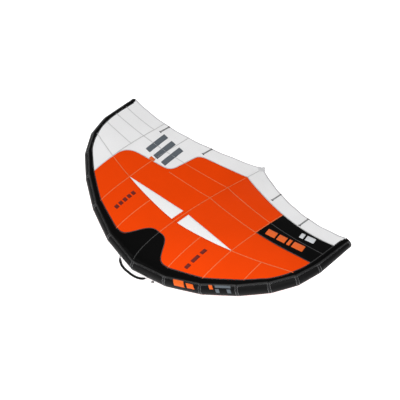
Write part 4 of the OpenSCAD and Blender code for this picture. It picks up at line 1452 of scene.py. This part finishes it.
def dress_inner_parts():
    """CAD nodes that stay as they are, with their materials"""
    for node, material in (("le_bladder", BLADDER), ("strut_bladder", BLADDER), ("feed_tube", VALVE)):
        shown = frame["nodes"][node]
        shown.data.materials.clear()
        shown.data.materials.append(material)


def tube_mark(name, i, material, t0, t1, turn0, turn1, lean):
    """Plain bar on the right half of the tube"""
    rings = []
    for t in np.linspace(0, 1, 14):
        turns = np.linspace(turn0, turn1, 12)
        way = mix(t0, t1, t) + lean * np.linspace(0, 1, 12)
        swell = 0.0015 * np.sin(np.pi * np.clip(way, 0.01, 0.99)) ** 0.7 + 0.0013
        rings.append(TUBE.at(i, way, turns, swell[:, None])[0])
    skin = Skin()
    skin.grid(np.array(rings)[::-1])
    skin.piece(name, material, solid=INK, slot="sleeve")


def make_tube_marks():
    tube_mark("tube_mark_1", 1, MARK_ORANGE, 0.26, 0.55, 38, 80, 0.05)
    tube_mark("tube_mark_2", 1, MARK_ORANGE, 0.62, 0.82, 46, 78, 0.05)
    tube_mark("tube_mark_3", 2, MARK_ORANGE, 0.24, 0.34, 34, 62, 0.04)
    tube_mark("tube_mark_4", 2, MARK_GREY, 0.41, 0.84, 34, 50, 0.02)
    tube_mark("tube_mark_5", 2, MARK_GREY, 0.43, 0.53, 58, 86, 0.02)
    tube_mark("tube_mark_6", 2, MARK_GREY, 0.74, 0.84, 58, 86, 0.02)


# ---- stage, light and camera
def make_stage():
    """Pale floor that gives off light of its own"""
    height = cad_box[0][2] - FLOOR_DROP
    corners = [(x * FLOOR_SIZE, y * FLOOR_SIZE, height) for x, y in ((-1, -1), (1, -1), (1, 1), (-1, 1))]
    mesh = bpy.data.meshes.new("floor")
    mesh.from_pydata(corners, [], [(0, 1, 2, 3)])
    floor = bpy.data.objects.new("floor", mesh)
    bpy.context.scene.collection.objects.link(floor)
    paper = Shader("floor_paper", (0.8, 0.8, 0.8), 1.0, Specular_IOR_Level=0.0, Emission_Strength=0.85)
    paper.surface.inputs["Emission Color"].default_value = (1, 1, 1, 1)
    mesh.materials.append(paper.material)


def add_light(name, kind, energy, direction, size, distance=6):
    """Light that shines on the wing from a direction; size is an angle for a sun"""
    data = bpy.data.lights.new(name, kind)
    data.energy = energy
    if kind == "SUN":
        data.angle = np.radians(size)
    else:
        data.shape = "SQUARE"
        data.size = size
    light = bpy.data.objects.new(name, data)
    way = Vector(direction).normalized()
    light.location = way * distance + Vector((0, 0.3, 0))
    light.rotation_euler = way.to_track_quat("Z", "Y").to_euler()
    bpy.context.scene.collection.objects.link(light)


def make_light():
    scene = bpy.context.scene
    scene.view_settings.view_transform = "Standard"
    world = bpy.data.worlds.new("studio")
    world.use_nodes = True
    world.node_tree.nodes["Background"].inputs["Color"].default_value = (1, 1, 1, 1)
    world.node_tree.nodes["Background"].inputs["Strength"].default_value = 0.45
    scene.world = world
    add_light("key", "SUN", 1.05, (0.85, -0.5, 0.85), 35)
    add_light("top", "SUN", 0.85, (-0.73, 0.06, 0.68), 60)
    add_light("front", "AREA", 12, (0.35, -0.62, 0.70), 1.6, 2.4)


def make_camera():
    azimuth, elevation = np.radians(CAMERA_AZIMUTH), np.radians(CAMERA_ELEVATION)
    ahead = np.array([np.sin(azimuth), -np.cos(azimuth), 0])
    back = ahead * np.cos(elevation) + UP * np.sin(elevation)
    right = np.array([np.cos(azimuth), np.sin(azimuth), 0])
    up = np.cross(back, right)
    place = SEAM + CAMERA_DISTANCE * back + CAMERA_OFFSET[0] * right + CAMERA_OFFSET[1] * up
    data = bpy.data.cameras.new("camera")
    data.lens, data.sensor_width = LENS, 36
    data.clip_end = 100
    camera = bpy.data.objects.new("camera", data)
    matrix = Matrix([[*row, p] for row, p in zip(np.stack([right, up, back], 1), place)] + [[0, 0, 0, 1]])
    camera.matrix_world = matrix
    bpy.context.scene.collection.objects.link(camera)
    bpy.context.scene.camera = camera


make_camera()
make_light()
make_stage()
make_panels()
make_seams()
make_trailing_edge()
make_battens()
make_marks()
make_tube()
make_tube_marks()
make_strut()
make_web()
make_strut_patches()
make_handles()
make_le_handle()
make_tube_patches()
make_leash()
make_valve()
dress_inner_parts()
